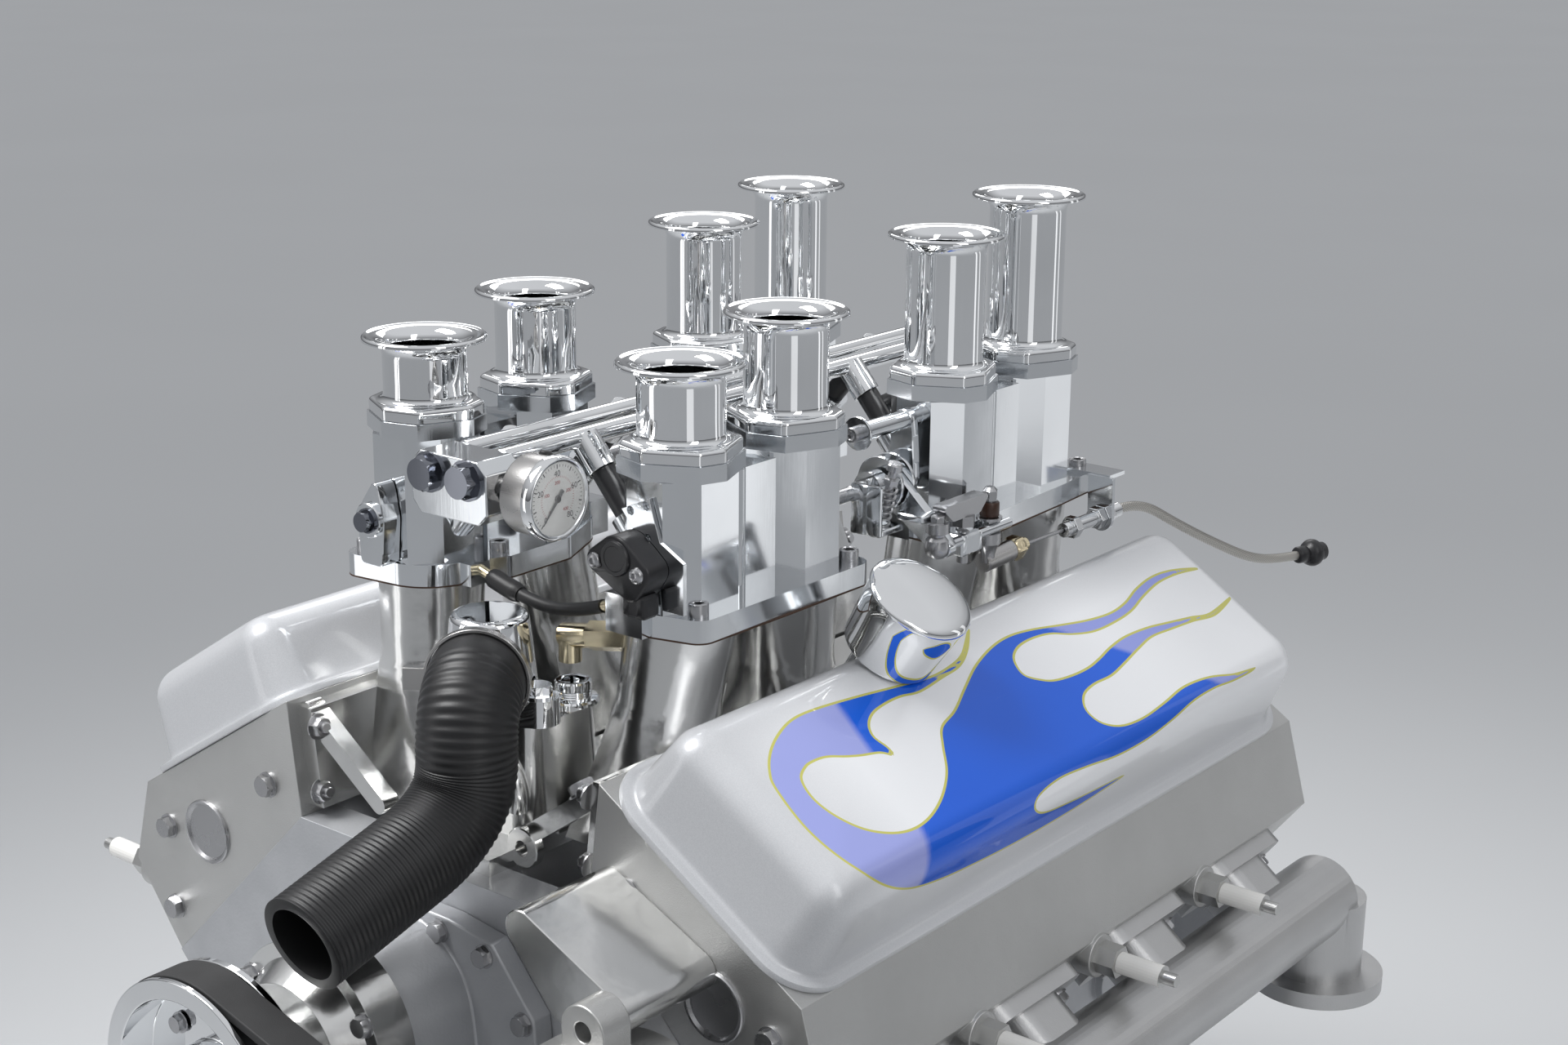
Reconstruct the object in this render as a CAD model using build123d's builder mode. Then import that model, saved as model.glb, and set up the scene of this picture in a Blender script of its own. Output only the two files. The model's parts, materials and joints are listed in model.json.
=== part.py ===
from build123d import *
import math
import os

# A small ninety degree V8 with an injection stack over each inlet port.
# +X is the vehicle's left, -Y its front and +Z up. The origin is on the crank's
# centreline, in the plane of the block's rear face. All sizes are in millimetres.

os.makedirs("parts", exist_ok=True)

# Block
bore_spacing = 111.76
rear_bore = 91.4          # rear face to the rear bore of the left bank
bank_lead = 22.3          # how far the right bank sits ahead of the left one
block_length = 520.0
deck_height = 208.4       # crank centreline to deck, along the bank
deck_half_width = 78.0
rail_half_width = 150.0   # oil pan rail
skirt_height = 36.0
cap_half_width = 50.0     # strip of main bearing caps under the block
cap_depth = 45.0
bell_thickness = 14.0
bell_holes = ((183.0, 0.0), (158.0, 108.0), (72.0, 172.0))
bell_hole_radius = 6.0
bell_ear_radius = 21.0
filter_setback = 50.0     # oil filter behind the block's front face
filter_height = 6.0

# Engine mounts
mount_y = -330.0
mount_reach = 54.0        # bolt's centreline outside the oil pan rail
mount_drop = 46.0         # and below the crank
mount_length = 72.0
mount_bolt_radius = 6.5

# Crank and what turns with it
running_gap = 0.05
seat_gap = 0.3
crank_radius = 32.0
snout_radius = 19.0
rear_flange_radius = 45.0
flywheel_radius = 157.0
flywheel_thickness = 26.0
damper_radius = 76.0
timing_depth = 55.0
belt_lead = 81.0          # belt's middle ahead of the timing cover
belt_width = 22.0
belt_thickness = 4.5
crank_pulley_radius = 64.0
pump_pulley_radius = 56.0
alternator_pulley_radius = 30.0
pulley_lip = 4.0
pump_height = 135.0
alternator_x = 168.0
alternator_z = 118.0
alternator_radius = 63.0

# Heads and covers, placed from the corners of the deck
head_length = 476.0
exhaust_rise = (35.3, 45.8)   # deck's outer corner to the exhaust face's upper edge
rail_offset = (7.8, 62.5)     # deck's inner corner to the cover rail's inner edge
rail_tilt = 32.0              # cover rail's slope, down and outward
rail_width = 146.0
plug_step = (2.0, -10.0)      # plug seat from the exhaust face's upper edge
cover_lip = 4.0
cover_height = 52.0
cover_inset = 7.0
cover_draft = 9.0
cover_corner = 30.0
breather_inset = 22.0         # breather's axis from the rail's inner edge
breather_y = -330.0
breather_radius = 25.0

# Inlet side, placed from the deck's inner corner
row_inset = 13.6          # stack rows stand this far inside the corner
stack_in_pair = 41.0      # stack to the middle of its pair
seam_rise = 117.5         # corner to the underside of the throttle bodies
body_base = 12.0
shaft_rise = 37.0         # seam to the throttle shaft's centreline
flange_rise = 79.0        # seam to the underside of a tower's top flange
body_flange = 8.5
stack_flange = 7.5
tower_size = (50.0, 55.0)
tower_chamfer = 13.4
flange_corners = ((0.9, -31.0), (27.0, -17.4), (32.0, -3.2), (20.2, 25.4))
base_screws = {           # from a body's middle: outward, then forward or back
    "front": ((23.5, -55.7), (25.0, 64.0), (-31.0, -21.0), (-31.0, 21.0)),
    "rear": ((25.0, -64.0), (17.0, 79.7), (-31.0, -21.0), (-31.0, 21.0))}
vacuum_boss = 37.0        # face of a body's vacuum boss, inward of its row
bore_radius = 20.5
body_bore_radius = 21.0
tube_radius = 22.15
rim_radius = 32.8
runner_top_radius = 28.5
runner_foot_radius = 27.0
shaft_radius = 4.0
port_width = 62.0
intake_flange = 10.0
flange_lead = 26.0        # inlet flange ahead of the front port
stack_heights = {"left": (39.0, 52.0, 74.0, 87.0), "right": (34.0, 47.0, 67.0, 80.0)}
rail_tube_radius = 5.0
rail_x = 13.0
rail_rise = 84.5          # seam to the fuel rails' centreline
rail_overhang = 47.0      # rails beyond the outer stacks
injector_aim = 8.0        # height above the seam at which injectors meet the stacks' axes
boss_length = 16.0

k = math.sqrt(0.5)
deck_inner = (k * (deck_height - deck_half_width), k * (deck_height + deck_half_width))
deck_outer = (deck_inner[1], deck_inner[0])
exhaust_high = (deck_outer[0] + exhaust_rise[0], deck_outer[1] + exhaust_rise[1])
plug_face = exhaust_high[0] + plug_step[0]
plug_height = exhaust_high[1] + plug_step[1]
rail_inner = (deck_inner[0] + rail_offset[0], deck_inner[1] + rail_offset[1])
tilt = math.radians(rail_tilt)
rail_outer = (rail_inner[0] + rail_width * math.cos(tilt), rail_inner[1] - rail_width * math.sin(tilt))

row_x = deck_inner[0] - row_inset
seam_height = deck_inner[1] + seam_rise
shaft_height = seam_height + shaft_rise
flange_height = seam_height + flange_rise
tube_foot = flange_height + body_flange + stack_flange
rail_z = seam_height + rail_rise
injector_run = row_x - rail_x
injector_drop = rail_rise - injector_aim
face_along = (row_x - tower_size[0] / 2 - rail_x) * math.hypot(injector_run, injector_drop) / injector_run

belt_middle = -(block_length + timing_depth + belt_lead)
left_mid = -(rear_bore + 1.5 * bore_spacing)
sides = (("left", 1, left_mid), ("right", -1, left_mid - bank_lead))
ports = (1.5, 0.5, -0.5, -1.5)             # rear to front, in bore spacings


def write(builder, name):
    builder.part.label = name
    export_step(builder.part, f"parts/{name}.step")


def stack_row(mid):
    """Y of a bank's stacks, rear to front."""
    return [mid + pair * bore_spacing + q * stack_in_pair for pair in (1, -1) for q in (1, -1)]


def bank_point(s, inward, along):
    """A point of a bank's section: inward across the deck, along up the bank."""
    return (s * k * (along - inward), k * (along + inward))


def injector_plane(s, y):
    """Plane on a rail's centreline, looking along the injector to its inlet tower."""
    return Plane(origin=(s * rail_x, y, rail_z), x_dir=(0, 1, 0), z_dir=(s * injector_run, 0, -injector_drop))


def flange_outline(x, y, turn, share=1.0):
    """Corners of a top flange, a turned and slightly uneven octagon."""
    corners = [(share * a, share * turn * b) for a, b in flange_corners]
    return [(x + a, y + b) for a, b in corners] + [(x - a, y - b) for a, b in corners]


# Cylinder block with its bearing cap strip and bell flange
valley = bank_point(1, deck_half_width, deck_height - 56)
skirt = bank_point(1, -deck_half_width, deck_height - 62)
half = [(rail_half_width, 0), (rail_half_width, skirt_height), skirt, deck_outer, deck_inner, valley]
with BuildPart() as cylinder_block:
    with BuildSketch(Plane.XZ):
        with BuildLine():
            Polyline(*half, *[(-x, z) for x, z in reversed(half)], close=True)
        make_face()
    extrude(amount=block_length)
    with BuildSketch(Plane.XZ):
        with Locations((0, -cap_depth / 2)):
            Rectangle(2 * cap_half_width, cap_depth)
    extrude(amount=block_length)
    with BuildSketch(Plane.XZ):
        with Locations(*[(s * x, z) for x, z in bell_holes for s in (1, -1)]):
            Circle(bell_ear_radius)
        make_hull()
    extrude(amount=bell_thickness)
    for y_wall in (bell_thickness, block_length - 24):
        with BuildSketch(Plane.XZ.offset(y_wall)):
            with BuildLine():
                Polyline(valley, deck_inner, (-deck_inner[0], deck_inner[1]), (-valley[0], valley[1]),
                         close=True)
            make_face()
        extrude(amount=24)
    with BuildSketch(Plane.XZ):
        with Locations(*[(s * x, z) for x, z in bell_holes for s in (1, -1)]):
            Circle(bell_hole_radius)
    extrude(amount=bell_thickness, mode=Mode.SUBTRACT)
    with BuildSketch(Plane.XZ):
        Circle(crank_radius + running_gap)
    extrude(amount=block_length, mode=Mode.SUBTRACT)
    for s in (1, -1):
        with BuildSketch(Plane.YZ.offset(s * (rail_half_width - 2))):
            with Locations((mount_y, 20)):
                RectangleRounded(90, 30, 6)
        extrude(amount=s * 12)
        with BuildSketch(Plane.YZ.offset(s * rail_half_width)):
            with Locations(*[(left_mid + bore * bore_spacing, 22) for bore in (1.5, 0.5, -1.5)]):
                Circle(18)
        extrude(amount=s * 5)
write(cylinder_block, "cylinder_block")

# Oil pan, a hollow pressing with a deep rear sump and arches round the cap strip
pan_front = block_length - bell_thickness - 2
pan_side = rail_half_width - 12
with BuildPart() as oil_pan:
    with BuildSketch(Plane.YZ.offset(-pan_side)):
        with BuildLine():
            Polyline((-bell_thickness - 4, 0), (-bell_thickness - 4, -150), (-40, -190), (-230, -190),
                     (-290, -80), (-pan_front, -80), (-pan_front, 0), close=True)
        make_face()
    extrude(amount=2 * pan_side)
    fillet(oil_pan.edges().filter_by(Axis.Z).group_by(Axis.Z)[-1], 8)
    lids = oil_pan.faces().sort_by(Axis.Z)[-1]
    offset(amount=-3, openings=lids)
    with BuildSketch(Plane.XY):
        with Locations((0, -(bell_thickness + 4 + pan_front) / 2)):
            Rectangle(2 * rail_half_width, pan_front - bell_thickness - 4)
            Rectangle(2 * pan_side - 6, pan_front - bell_thickness - 14, mode=Mode.SUBTRACT)
    extrude(amount=-5)
    with BuildSketch(Plane.XZ):
        with Locations((0, -cap_depth / 2)):
            Rectangle(2 * (cap_half_width + seat_gap), cap_depth + 2 * seat_gap)
    extrude(amount=block_length, mode=Mode.SUBTRACT)
write(oil_pan, "oil_pan")

# Timing cover on the block's front face
timing_outline = [(70, -52), (112, -6), (112, 40), (94, 70), (88, 150), (60, 182), (30, 186)]
with BuildPart() as timing_cover:
    with BuildSketch(Plane.XZ.offset(block_length)):
        with BuildLine():
            Polyline(*timing_outline, *[(-x, z) for x, z in reversed(timing_outline)], close=True)
        make_face()
    extrude(amount=12)
    with BuildSketch(Plane.XZ.offset(block_length + 12)):
        Circle(62)
        with Locations((0, pump_height)):
            Circle(46)
        make_hull()
    extrude(amount=timing_depth - 12)
    with BuildSketch(Plane.XZ.offset(block_length)):
        Circle(crank_radius + running_gap)
    extrude(amount=20, mode=Mode.SUBTRACT)
    with BuildSketch(Plane.XZ.offset(block_length)):
        Circle(snout_radius + running_gap)
    extrude(amount=timing_depth, mode=Mode.SUBTRACT)
write(timing_cover, "timing_cover")

# Crankshaft, its rear flange and its front snout
with BuildPart() as crankshaft:
    with BuildSketch(Plane.XZ.offset(-10)):
        Circle(rear_flange_radius)
    extrude(amount=9)
    with BuildSketch(Plane.XZ.offset(-10)):
        Circle(crank_radius)
    extrude(amount=10 + block_length + 16)
    with BuildSketch(Plane.XZ.offset(-10)):
        Circle(snout_radius)
    extrude(amount=10 + block_length + timing_depth + 70)
write(crankshaft, "crankshaft")

# Flywheel with its starter ring and clutch bolt holes
with BuildPart() as flywheel:
    with BuildSketch(Plane.XZ.offset(-10 - flywheel_thickness)):
        Circle(flywheel_radius)
    extrude(amount=flywheel_thickness)
    with BuildSketch(Plane.XZ.offset(-10 - 12)):
        Circle(flywheel_radius + 5)
        Circle(flywheel_radius - 4, mode=Mode.SUBTRACT)
    extrude(amount=10)
    with BuildSketch(Plane.XZ.offset(-10 - flywheel_thickness)):
        Circle(78)
    extrude(amount=8, mode=Mode.SUBTRACT)
    with BuildSketch(Plane.XZ.offset(-10 - flywheel_thickness)):
        with PolarLocations(132, 6):
            Circle(4)
    extrude(amount=16, mode=Mode.SUBTRACT)
write(flywheel, "flywheel")

# Damper and grooved pulley on the snout
damper_back = block_length + timing_depth + 12
pulley_back = -belt_middle - belt_width / 2 - 4
with BuildPart() as crank_damper:
    with BuildSketch(Plane.XZ.offset(damper_back)):
        Circle(damper_radius)
        Circle(snout_radius, mode=Mode.SUBTRACT)
    extrude(amount=36)
    with BuildSketch(Plane.XZ.offset(damper_back - 11)):
        Circle(34)
        Circle(snout_radius, mode=Mode.SUBTRACT)
    extrude(amount=12)
    with BuildSketch(Plane.XZ.offset(damper_back + 34)):
        Circle(48)
        Circle(snout_radius, mode=Mode.SUBTRACT)
    extrude(amount=pulley_back - damper_back - 34 + 6)
    with BuildSketch(Plane.XZ.offset(pulley_back)):
        Circle(crank_pulley_radius + pulley_lip)
        Circle(snout_radius, mode=Mode.SUBTRACT)
    extrude(amount=4)
    with BuildSketch(Plane.XZ.offset(pulley_back + 4)):
        Circle(crank_pulley_radius - seat_gap)
        Circle(snout_radius, mode=Mode.SUBTRACT)
    extrude(amount=belt_width)
    with BuildSketch(Plane.XZ.offset(pulley_back + 4 + belt_width)):
        Circle(crank_pulley_radius + pulley_lip)
        Circle(crank_pulley_radius - 14, mode=Mode.SUBTRACT)
    extrude(amount=3)
    with BuildSketch(Plane.XZ.offset(pulley_back + 12)):
        Circle(crank_pulley_radius - 14)
        Circle(snout_radius + 14, mode=Mode.SUBTRACT)
    extrude(amount=belt_width, mode=Mode.SUBTRACT)
write(crank_damper, "crank_damper")

# Water pump body with its lower hose neck
pump_back = block_length + timing_depth
pump_nose = 56.0
pump_shaft_radius = 8.0
neck_radius = 19.0
neck_length = 44.0
neck_lead = 22.0          # neck's centreline ahead of the timing cover
neck_start = 58.0         # shoulder that the lower hose stops against, from the middle
with BuildPart() as water_pump:
    with BuildSketch(Plane.XZ.offset(pump_back)):
        with Locations((0, pump_height)):
            Circle(52)
    extrude(amount=22)
    with BuildSketch(Plane.XZ.offset(pump_back + 22)):
        with Locations((0, pump_height)):
            Circle(44)
    extrude(amount=14, taper=30)
    with BuildSketch(Plane.XZ.offset(pump_back + 30)):
        with Locations((0, pump_height)):
            Circle(20)
    extrude(amount=pump_nose - 30)
    for start, length, radius in ((20, neck_start - 20, neck_radius + 2), (neck_start, neck_length, neck_radius)):
        with BuildSketch(Plane.YZ.offset(-start)):
            with Locations((-(pump_back + neck_lead), pump_height - 26)):
                Circle(radius)
        extrude(amount=-length)
    with BuildSketch(Plane.YZ.offset(-neck_start - neck_length)):
        with Locations((-(pump_back + neck_lead), pump_height - 26)):
            Circle(neck_radius - 3)
    extrude(amount=50, mode=Mode.SUBTRACT)
    with BuildSketch(Plane.XZ.offset(pump_back + 6)):
        with Locations((0, pump_height)):
            Circle(pump_shaft_radius + running_gap)
    extrude(amount=pump_nose, mode=Mode.SUBTRACT)
write(water_pump, "water_pump")


def pulley(radius, hub_radius, shaft, x, z, shaft_start):
    """A grooved pulley on its shaft, in line with the belt."""
    with BuildPart() as wheel:
        with BuildSketch(Plane.XZ.offset(shaft_start)):
            with Locations((x, z)):
                Circle(shaft)
        extrude(amount=pulley_back - shaft_start + 20)
        for start, length, edge in ((pulley_back, 4, radius + pulley_lip),
                                    (pulley_back + 4, belt_width, radius - seat_gap),
                                    (pulley_back + 4 + belt_width, 3, radius + pulley_lip)):
            with BuildSketch(Plane.XZ.offset(start)):
                with Locations((x, z)):
                    Circle(edge)
            extrude(amount=length)
        with BuildSketch(Plane.XZ.offset(pulley_back + 10)):
            with Locations((x, z)):
                Circle(radius - 6)
                Circle(hub_radius, mode=Mode.SUBTRACT)
        extrude(amount=belt_width, mode=Mode.SUBTRACT)
    return wheel


pump_pulley = pulley(pump_pulley_radius, 24, pump_shaft_radius, 0, pump_height, pump_back + 8)
write(pump_pulley, "pump_pulley")

# Alternator case, with a fan gap and slots at the rear
case_back = block_length + 14
case_length = 84.0
ear_y = case_back + 26
ear = (alternator_x - 4, alternator_z + alternator_radius + 8)
with BuildPart() as alternator:
    with BuildSketch(Plane.XZ.offset(case_back)):
        with Locations((alternator_x, alternator_z)):
            Circle(alternator_radius - 8)
    extrude(amount=26, taper=-8)
    with BuildSketch(Plane.XZ.offset(ear_y)):
        with Locations((alternator_x, alternator_z)):
            Circle(alternator_radius)
    extrude(amount=32)
    with BuildSketch(Plane.XZ.offset(case_back + 58)):
        with Locations((alternator_x, alternator_z)):
            Circle(alternator_radius - 3)
    extrude(amount=case_length - 58, taper=12)
    with BuildSketch(Plane.XZ.offset(ear_y)):
        with Locations(ear):
            Circle(13)
        with Locations((ear[0], ear[1] - 12)):
            Rectangle(26, 24)
        with Locations(ear):
            Circle(5, mode=Mode.SUBTRACT)
    extrude(amount=18)
    with BuildSketch(Plane.XZ.offset(case_back + 4)):
        with Locations((alternator_x, alternator_z)):
            Circle(9 + running_gap)
    extrude(amount=case_length, mode=Mode.SUBTRACT)
write(alternator, "alternator")

alternator_pulley = pulley(alternator_pulley_radius, 16, 9, alternator_x, alternator_z, case_back + 6)
write(alternator_pulley, "alternator_pulley")

# Drive belt round the three pulleys
wheels = ((0, 0, crank_pulley_radius), (0, pump_height, pump_pulley_radius),
          (alternator_x, alternator_z, alternator_pulley_radius))
with BuildPart() as drive_belt:
    with BuildSketch(Plane.XZ.offset(-belt_middle - belt_width / 2 + 1)):
        for x, z, radius in wheels:
            with Locations((x, z)):
                Circle(radius + belt_thickness)
        make_hull()
    extrude(amount=belt_width - 2)
    with BuildSketch(Plane.XZ.offset(-belt_middle - belt_width / 2 + 1)):
        for x, z, radius in wheels:
            with Locations((x, z)):
                Circle(radius)
        make_hull()
    extrude(amount=belt_width - 2, mode=Mode.SUBTRACT)
write(drive_belt, "drive_belt")

# Alternator bracket from the left head's front face
head_front = -(left_mid - head_length / 2)
with BuildPart() as alternator_bracket:
    with BuildSketch(Plane.XZ.offset(head_front)):
        with Locations(ear, (ear[0] - 30, ear[1] - 4), (deck_inner[0] + 16, deck_inner[1] + 12.5)):
            Circle(9.5)
        make_hull()
    extrude(amount=ear_y - head_front)
write(alternator_bracket, "alternator_bracket")

# Heads, covers, exhaust, inlet and injection, side by side
face_length = math.dist(deck_outer, exhaust_high)
out_x = exhaust_rise[1] / face_length
out_z = -exhaust_rise[0] / face_length
lean = rail_offset[0] / rail_offset[1]

castings = {}

for side, s, mid in sides:
    head_start = -(mid + head_length / 2)
    bores = [mid + port * bore_spacing for port in ports]

    # Head casting, from the deck to the cover's rail
    section = [deck_inner, deck_outer, exhaust_high, rail_outer, rail_inner]
    with BuildPart() as head:
        with BuildSketch(Plane.XZ.offset(head_start)):
            with BuildLine():
                Polyline(*[(s * x, z) for x, z in section], close=True)
            make_face()
        extrude(amount=head_length)
        with BuildSketch(Plane.YZ.offset(s * (plug_face - 24))):
            with Locations(*[(y - bore_spacing / 2, plug_height) for y in bores]):
                Circle(12)
        extrude(amount=s * 24)
    write(head, f"head_{side}")

    # Valve cover: a lip on the rail and a drawn, rounded box
    rail_plane = Plane(
        origin=(s * (rail_inner[0] + rail_outer[0]) / 2, mid - 3, (rail_inner[1] + rail_outer[1]) / 2),
        x_dir=(s * math.cos(tilt), 0, -math.sin(tilt)),
        z_dir=(s * math.sin(tilt), 0, math.cos(tilt)))
    with BuildPart() as cover:
        with BuildSketch(rail_plane):
            RectangleRounded(rail_width, head_length, cover_corner)
        extrude(amount=cover_lip)
        with BuildSketch(rail_plane.offset(cover_lip)):
            RectangleRounded(rail_width - 2 * cover_inset, head_length - 2 * cover_inset,
                             cover_corner - cover_inset / 2)
        extrude(amount=cover_height - cover_lip, taper=cover_draft)
        top = cover.faces().sort_by(Axis(rail_plane.origin, rail_plane.z_dir))[-1]
        fillet(top.edges(), 18)
        if side == "left":
            cap_plane = Plane(rail_plane * Pos(breather_inset - rail_width / 2, breather_y - (mid - 3), 0))
            with BuildSketch(cap_plane):
                Circle(15)
            extrude(amount=2 * cover_height, mode=Mode.SUBTRACT)
    write(cover, f"valve_cover_{side}")

    # Exhaust manifold: flange strip, four stubs, a log and a rear outlet
    middle = ((deck_outer[0] + exhaust_high[0]) / 2, (deck_outer[1] + exhaust_high[1]) / 2)
    log = (s * (middle[0] + 46 * out_x), middle[1] + 46 * out_z)
    outlet_y = bores[0] + 62
    with BuildPart() as manifold:
        for y in bores:
            port = Plane(origin=(s * middle[0], y, middle[1]), x_dir=(0, 1, 0), z_dir=(s * out_x, 0, out_z))
            with BuildSketch(port):
                RectangleRounded(78, 46, 12)
            extrude(amount=9)
            with BuildSketch(port.offset(9)):
                RectangleRounded(44, 34, 12)
            extrude(amount=46 - 9)
        with BuildSketch(Plane.XZ.offset(-outlet_y)):
            with Locations(log):
                Circle(24)
        extrude(amount=outlet_y - bores[3] + 24)
        with BuildSketch(Plane.XY.offset(log[1])):
            with Locations((log[0], outlet_y)):
                Circle(27)
        extrude(amount=-58)
        with BuildSketch(Plane.XY.offset(log[1] - 48)):
            with Locations((log[0], outlet_y)):
                Circle(40)
        extrude(amount=-10)
        with BuildSketch(Plane.XY.offset(log[1] - 58)):
            with Locations((log[0], outlet_y)):
                Circle(22)
        extrude(amount=50, mode=Mode.SUBTRACT)
    write(manifold, f"exhaust_manifold_{side}")

    # Spark plugs, level, above the exhaust stubs
    with BuildPart() as plugs:
        for y in bores:
            for start, length, radius, count in ((0, 12, 9, 6), (12, 26, 6, 24), (38, 8, 3.5, 24)):
                with BuildSketch(Plane.YZ.offset(s * (plug_face + start))):
                    with Locations((y - bore_spacing / 2, plug_height)):
                        RegularPolygon(radius, count)
                extrude(amount=s * length)
    write(plugs, f"spark_plugs_{side}")

    # Runner casting: four upright runners that turn into the head's face
    low_z = deck_inner[1] + 5
    high_z = rail_inner[1] - 4
    face_low = deck_inner[0] + lean * 5
    face_high = deck_inner[0] + lean * (high_z - deck_inner[1])
    with BuildPart() as intake:
        with BuildSketch(Plane.XZ.offset(-(mid + 1.5 * bore_spacing + port_width / 2 + 6))):
            with BuildLine():
                Polyline((s * face_low, low_z), (s * face_high, high_z),
                         (s * (face_high - intake_flange), high_z),
                         (s * (face_low - intake_flange), low_z), close=True)
            make_face()
        extrude(amount=3 * bore_spacing + port_width + 12 + flange_lead)
        with BuildSketch(Plane.XZ.offset(-(mid - 1.5 * bore_spacing - port_width / 2 - flange_lead + 6))):
            with Locations((s * (face_low - 50), low_z + 12), (s * (face_high - 3), high_z - 3)):
                Circle(5)
            make_hull()
        extrude(amount=10)
        for y, port in zip(stack_row(mid), ports):
            y_port = mid + port * bore_spacing
            with BuildSketch(Plane.XY.offset(seam_height)):
                with Locations((s * row_x, y)):
                    Circle(runner_top_radius)
            with BuildSketch(Plane.XY.offset(high_z + 20)):
                with Locations((s * (row_x - 4), (2 * y + y_port) / 3)):
                    Circle(runner_foot_radius)
            loft()
            with BuildSketch(Plane.XY.offset(high_z + 20)):
                with Locations((s * (row_x - 4), (2 * y + y_port) / 3)):
                    Circle(runner_foot_radius)
            with BuildSketch(Plane.XY.offset(low_z)):
                with Locations((s * (row_x - 13), y_port)):
                    Rectangle(2 * (face_low - row_x + 12), port_width)
            loft()
        with BuildSketch(Plane.XZ.offset(-(mid + 2 * bore_spacing + 40))):
            with BuildLine():
                Polyline((s * face_low, low_z - 1), (s * face_high, high_z), (s * (face_high + 60), high_z),
                         (s * (face_high + 60), low_z - 1), close=True)
            make_face()
        extrude(amount=5 * bore_spacing, mode=Mode.SUBTRACT)
        for y in stack_row(mid):
            with BuildSketch(Plane.XY.offset(seam_height)):
                with Locations((s * row_x, y)):
                    Circle(bore_radius)
            extrude(amount=-30, mode=Mode.SUBTRACT)
    write(intake, f"intake_{side}")
    castings[side] = intake.part

    # Twin throttle bodies, two to a side; the right ones are the same turned half round
    for place, middle_y in (("rear", mid + bore_spacing), ("front", mid - bore_spacing)):
        towers = [(middle_y + q * stack_in_pair, -q * s) for q in (1, -1)]
        screws = [(s * (row_x + out), middle_y + s * along) for out, along in base_screws[place]]
        with BuildPart() as body:
            with BuildSketch(Plane.XY.offset(seam_height)):
                for y, turn in towers:
                    with Locations((s * row_x, y)):
                        Circle(runner_top_radius + 1)
                with Locations(*screws):
                    Circle(9.5)
                make_hull()
            extrude(amount=body_base)
            for y, turn in towers:
                with BuildSketch(Plane.XY.offset(seam_height + body_base)) as tower:
                    with Locations((s * row_x, y)):
                        Rectangle(*tower_size)
                    chamfer(tower.vertices(), tower_chamfer)
                extrude(amount=flange_rise - body_base)
                with BuildSketch(Plane.XY.offset(flange_height)):
                    with BuildLine():
                        Polyline(*flange_outline(s * row_x, y, turn), close=True)
                    make_face()
                extrude(amount=body_flange)
            with BuildSketch(Plane.XY.offset(seam_height + body_base)):
                with Locations((s * (row_x + 2), middle_y)):
                    Rectangle(30, 24)
                with Locations((s * row_x, middle_y)):
                    Rectangle(20, 2 * stack_in_pair - 40)
                with Locations((s * (row_x + 14), middle_y - s * 16)):
                    Circle(5)
            extrude(amount=flange_rise - body_base - 2)
            with BuildSketch(Plane.XY.offset(seam_height)):
                with Locations((s * (row_x - 8), middle_y - s * (stack_in_pair + tower_size[1] / 2))):
                    Rectangle(24, 14)
            extrude(amount=body_base + 8)
            with BuildSketch(Plane.XY.offset(seam_height)):
                with Locations((s * (row_x - vacuum_boss + 8), middle_y + s * stack_in_pair)):
                    Rectangle(16, 14)
            extrude(amount=body_base)
            for y, turn in towers:
                with BuildSketch(injector_plane(s, y).offset(face_along - boss_length)):
                    Circle(9.5)
                extrude(amount=boss_length + 8)
                with BuildSketch(Plane.XY.offset(seam_height)):
                    with Locations((s * row_x, y)):
                        Circle(body_bore_radius)
                extrude(amount=flange_rise + body_flange, mode=Mode.SUBTRACT)
            with BuildSketch(Plane.XY.offset(seam_height)):
                with Locations(*screws):
                    Circle(3.2)
            extrude(amount=body_base, mode=Mode.SUBTRACT)
            with BuildSketch(Plane.XZ.offset(-(middle_y + 90))):
                with Locations((s * row_x, shaft_height)):
                    Circle(shaft_radius + running_gap)
            extrude(amount=180, mode=Mode.SUBTRACT)
        write(body, f"throttle_body_{side}_{place}")

    # Throttle shaft with its four butterfly plates
    with BuildPart() as shaft:
        with BuildSketch(Plane.XZ.offset(-(mid + bore_spacing + 80))):
            with Locations((s * row_x, shaft_height)):
                Circle(shaft_radius)
        extrude(amount=2 * bore_spacing + 160)
        for y in stack_row(mid):
            with BuildSketch(Plane(origin=(s * row_x, y, shaft_height - 0.8), z_dir=(0, 0, 1))):
                Circle(body_bore_radius - 0.3)
            extrude(amount=1.6)
    write(shaft, f"throttle_shaft_{side}")

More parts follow.
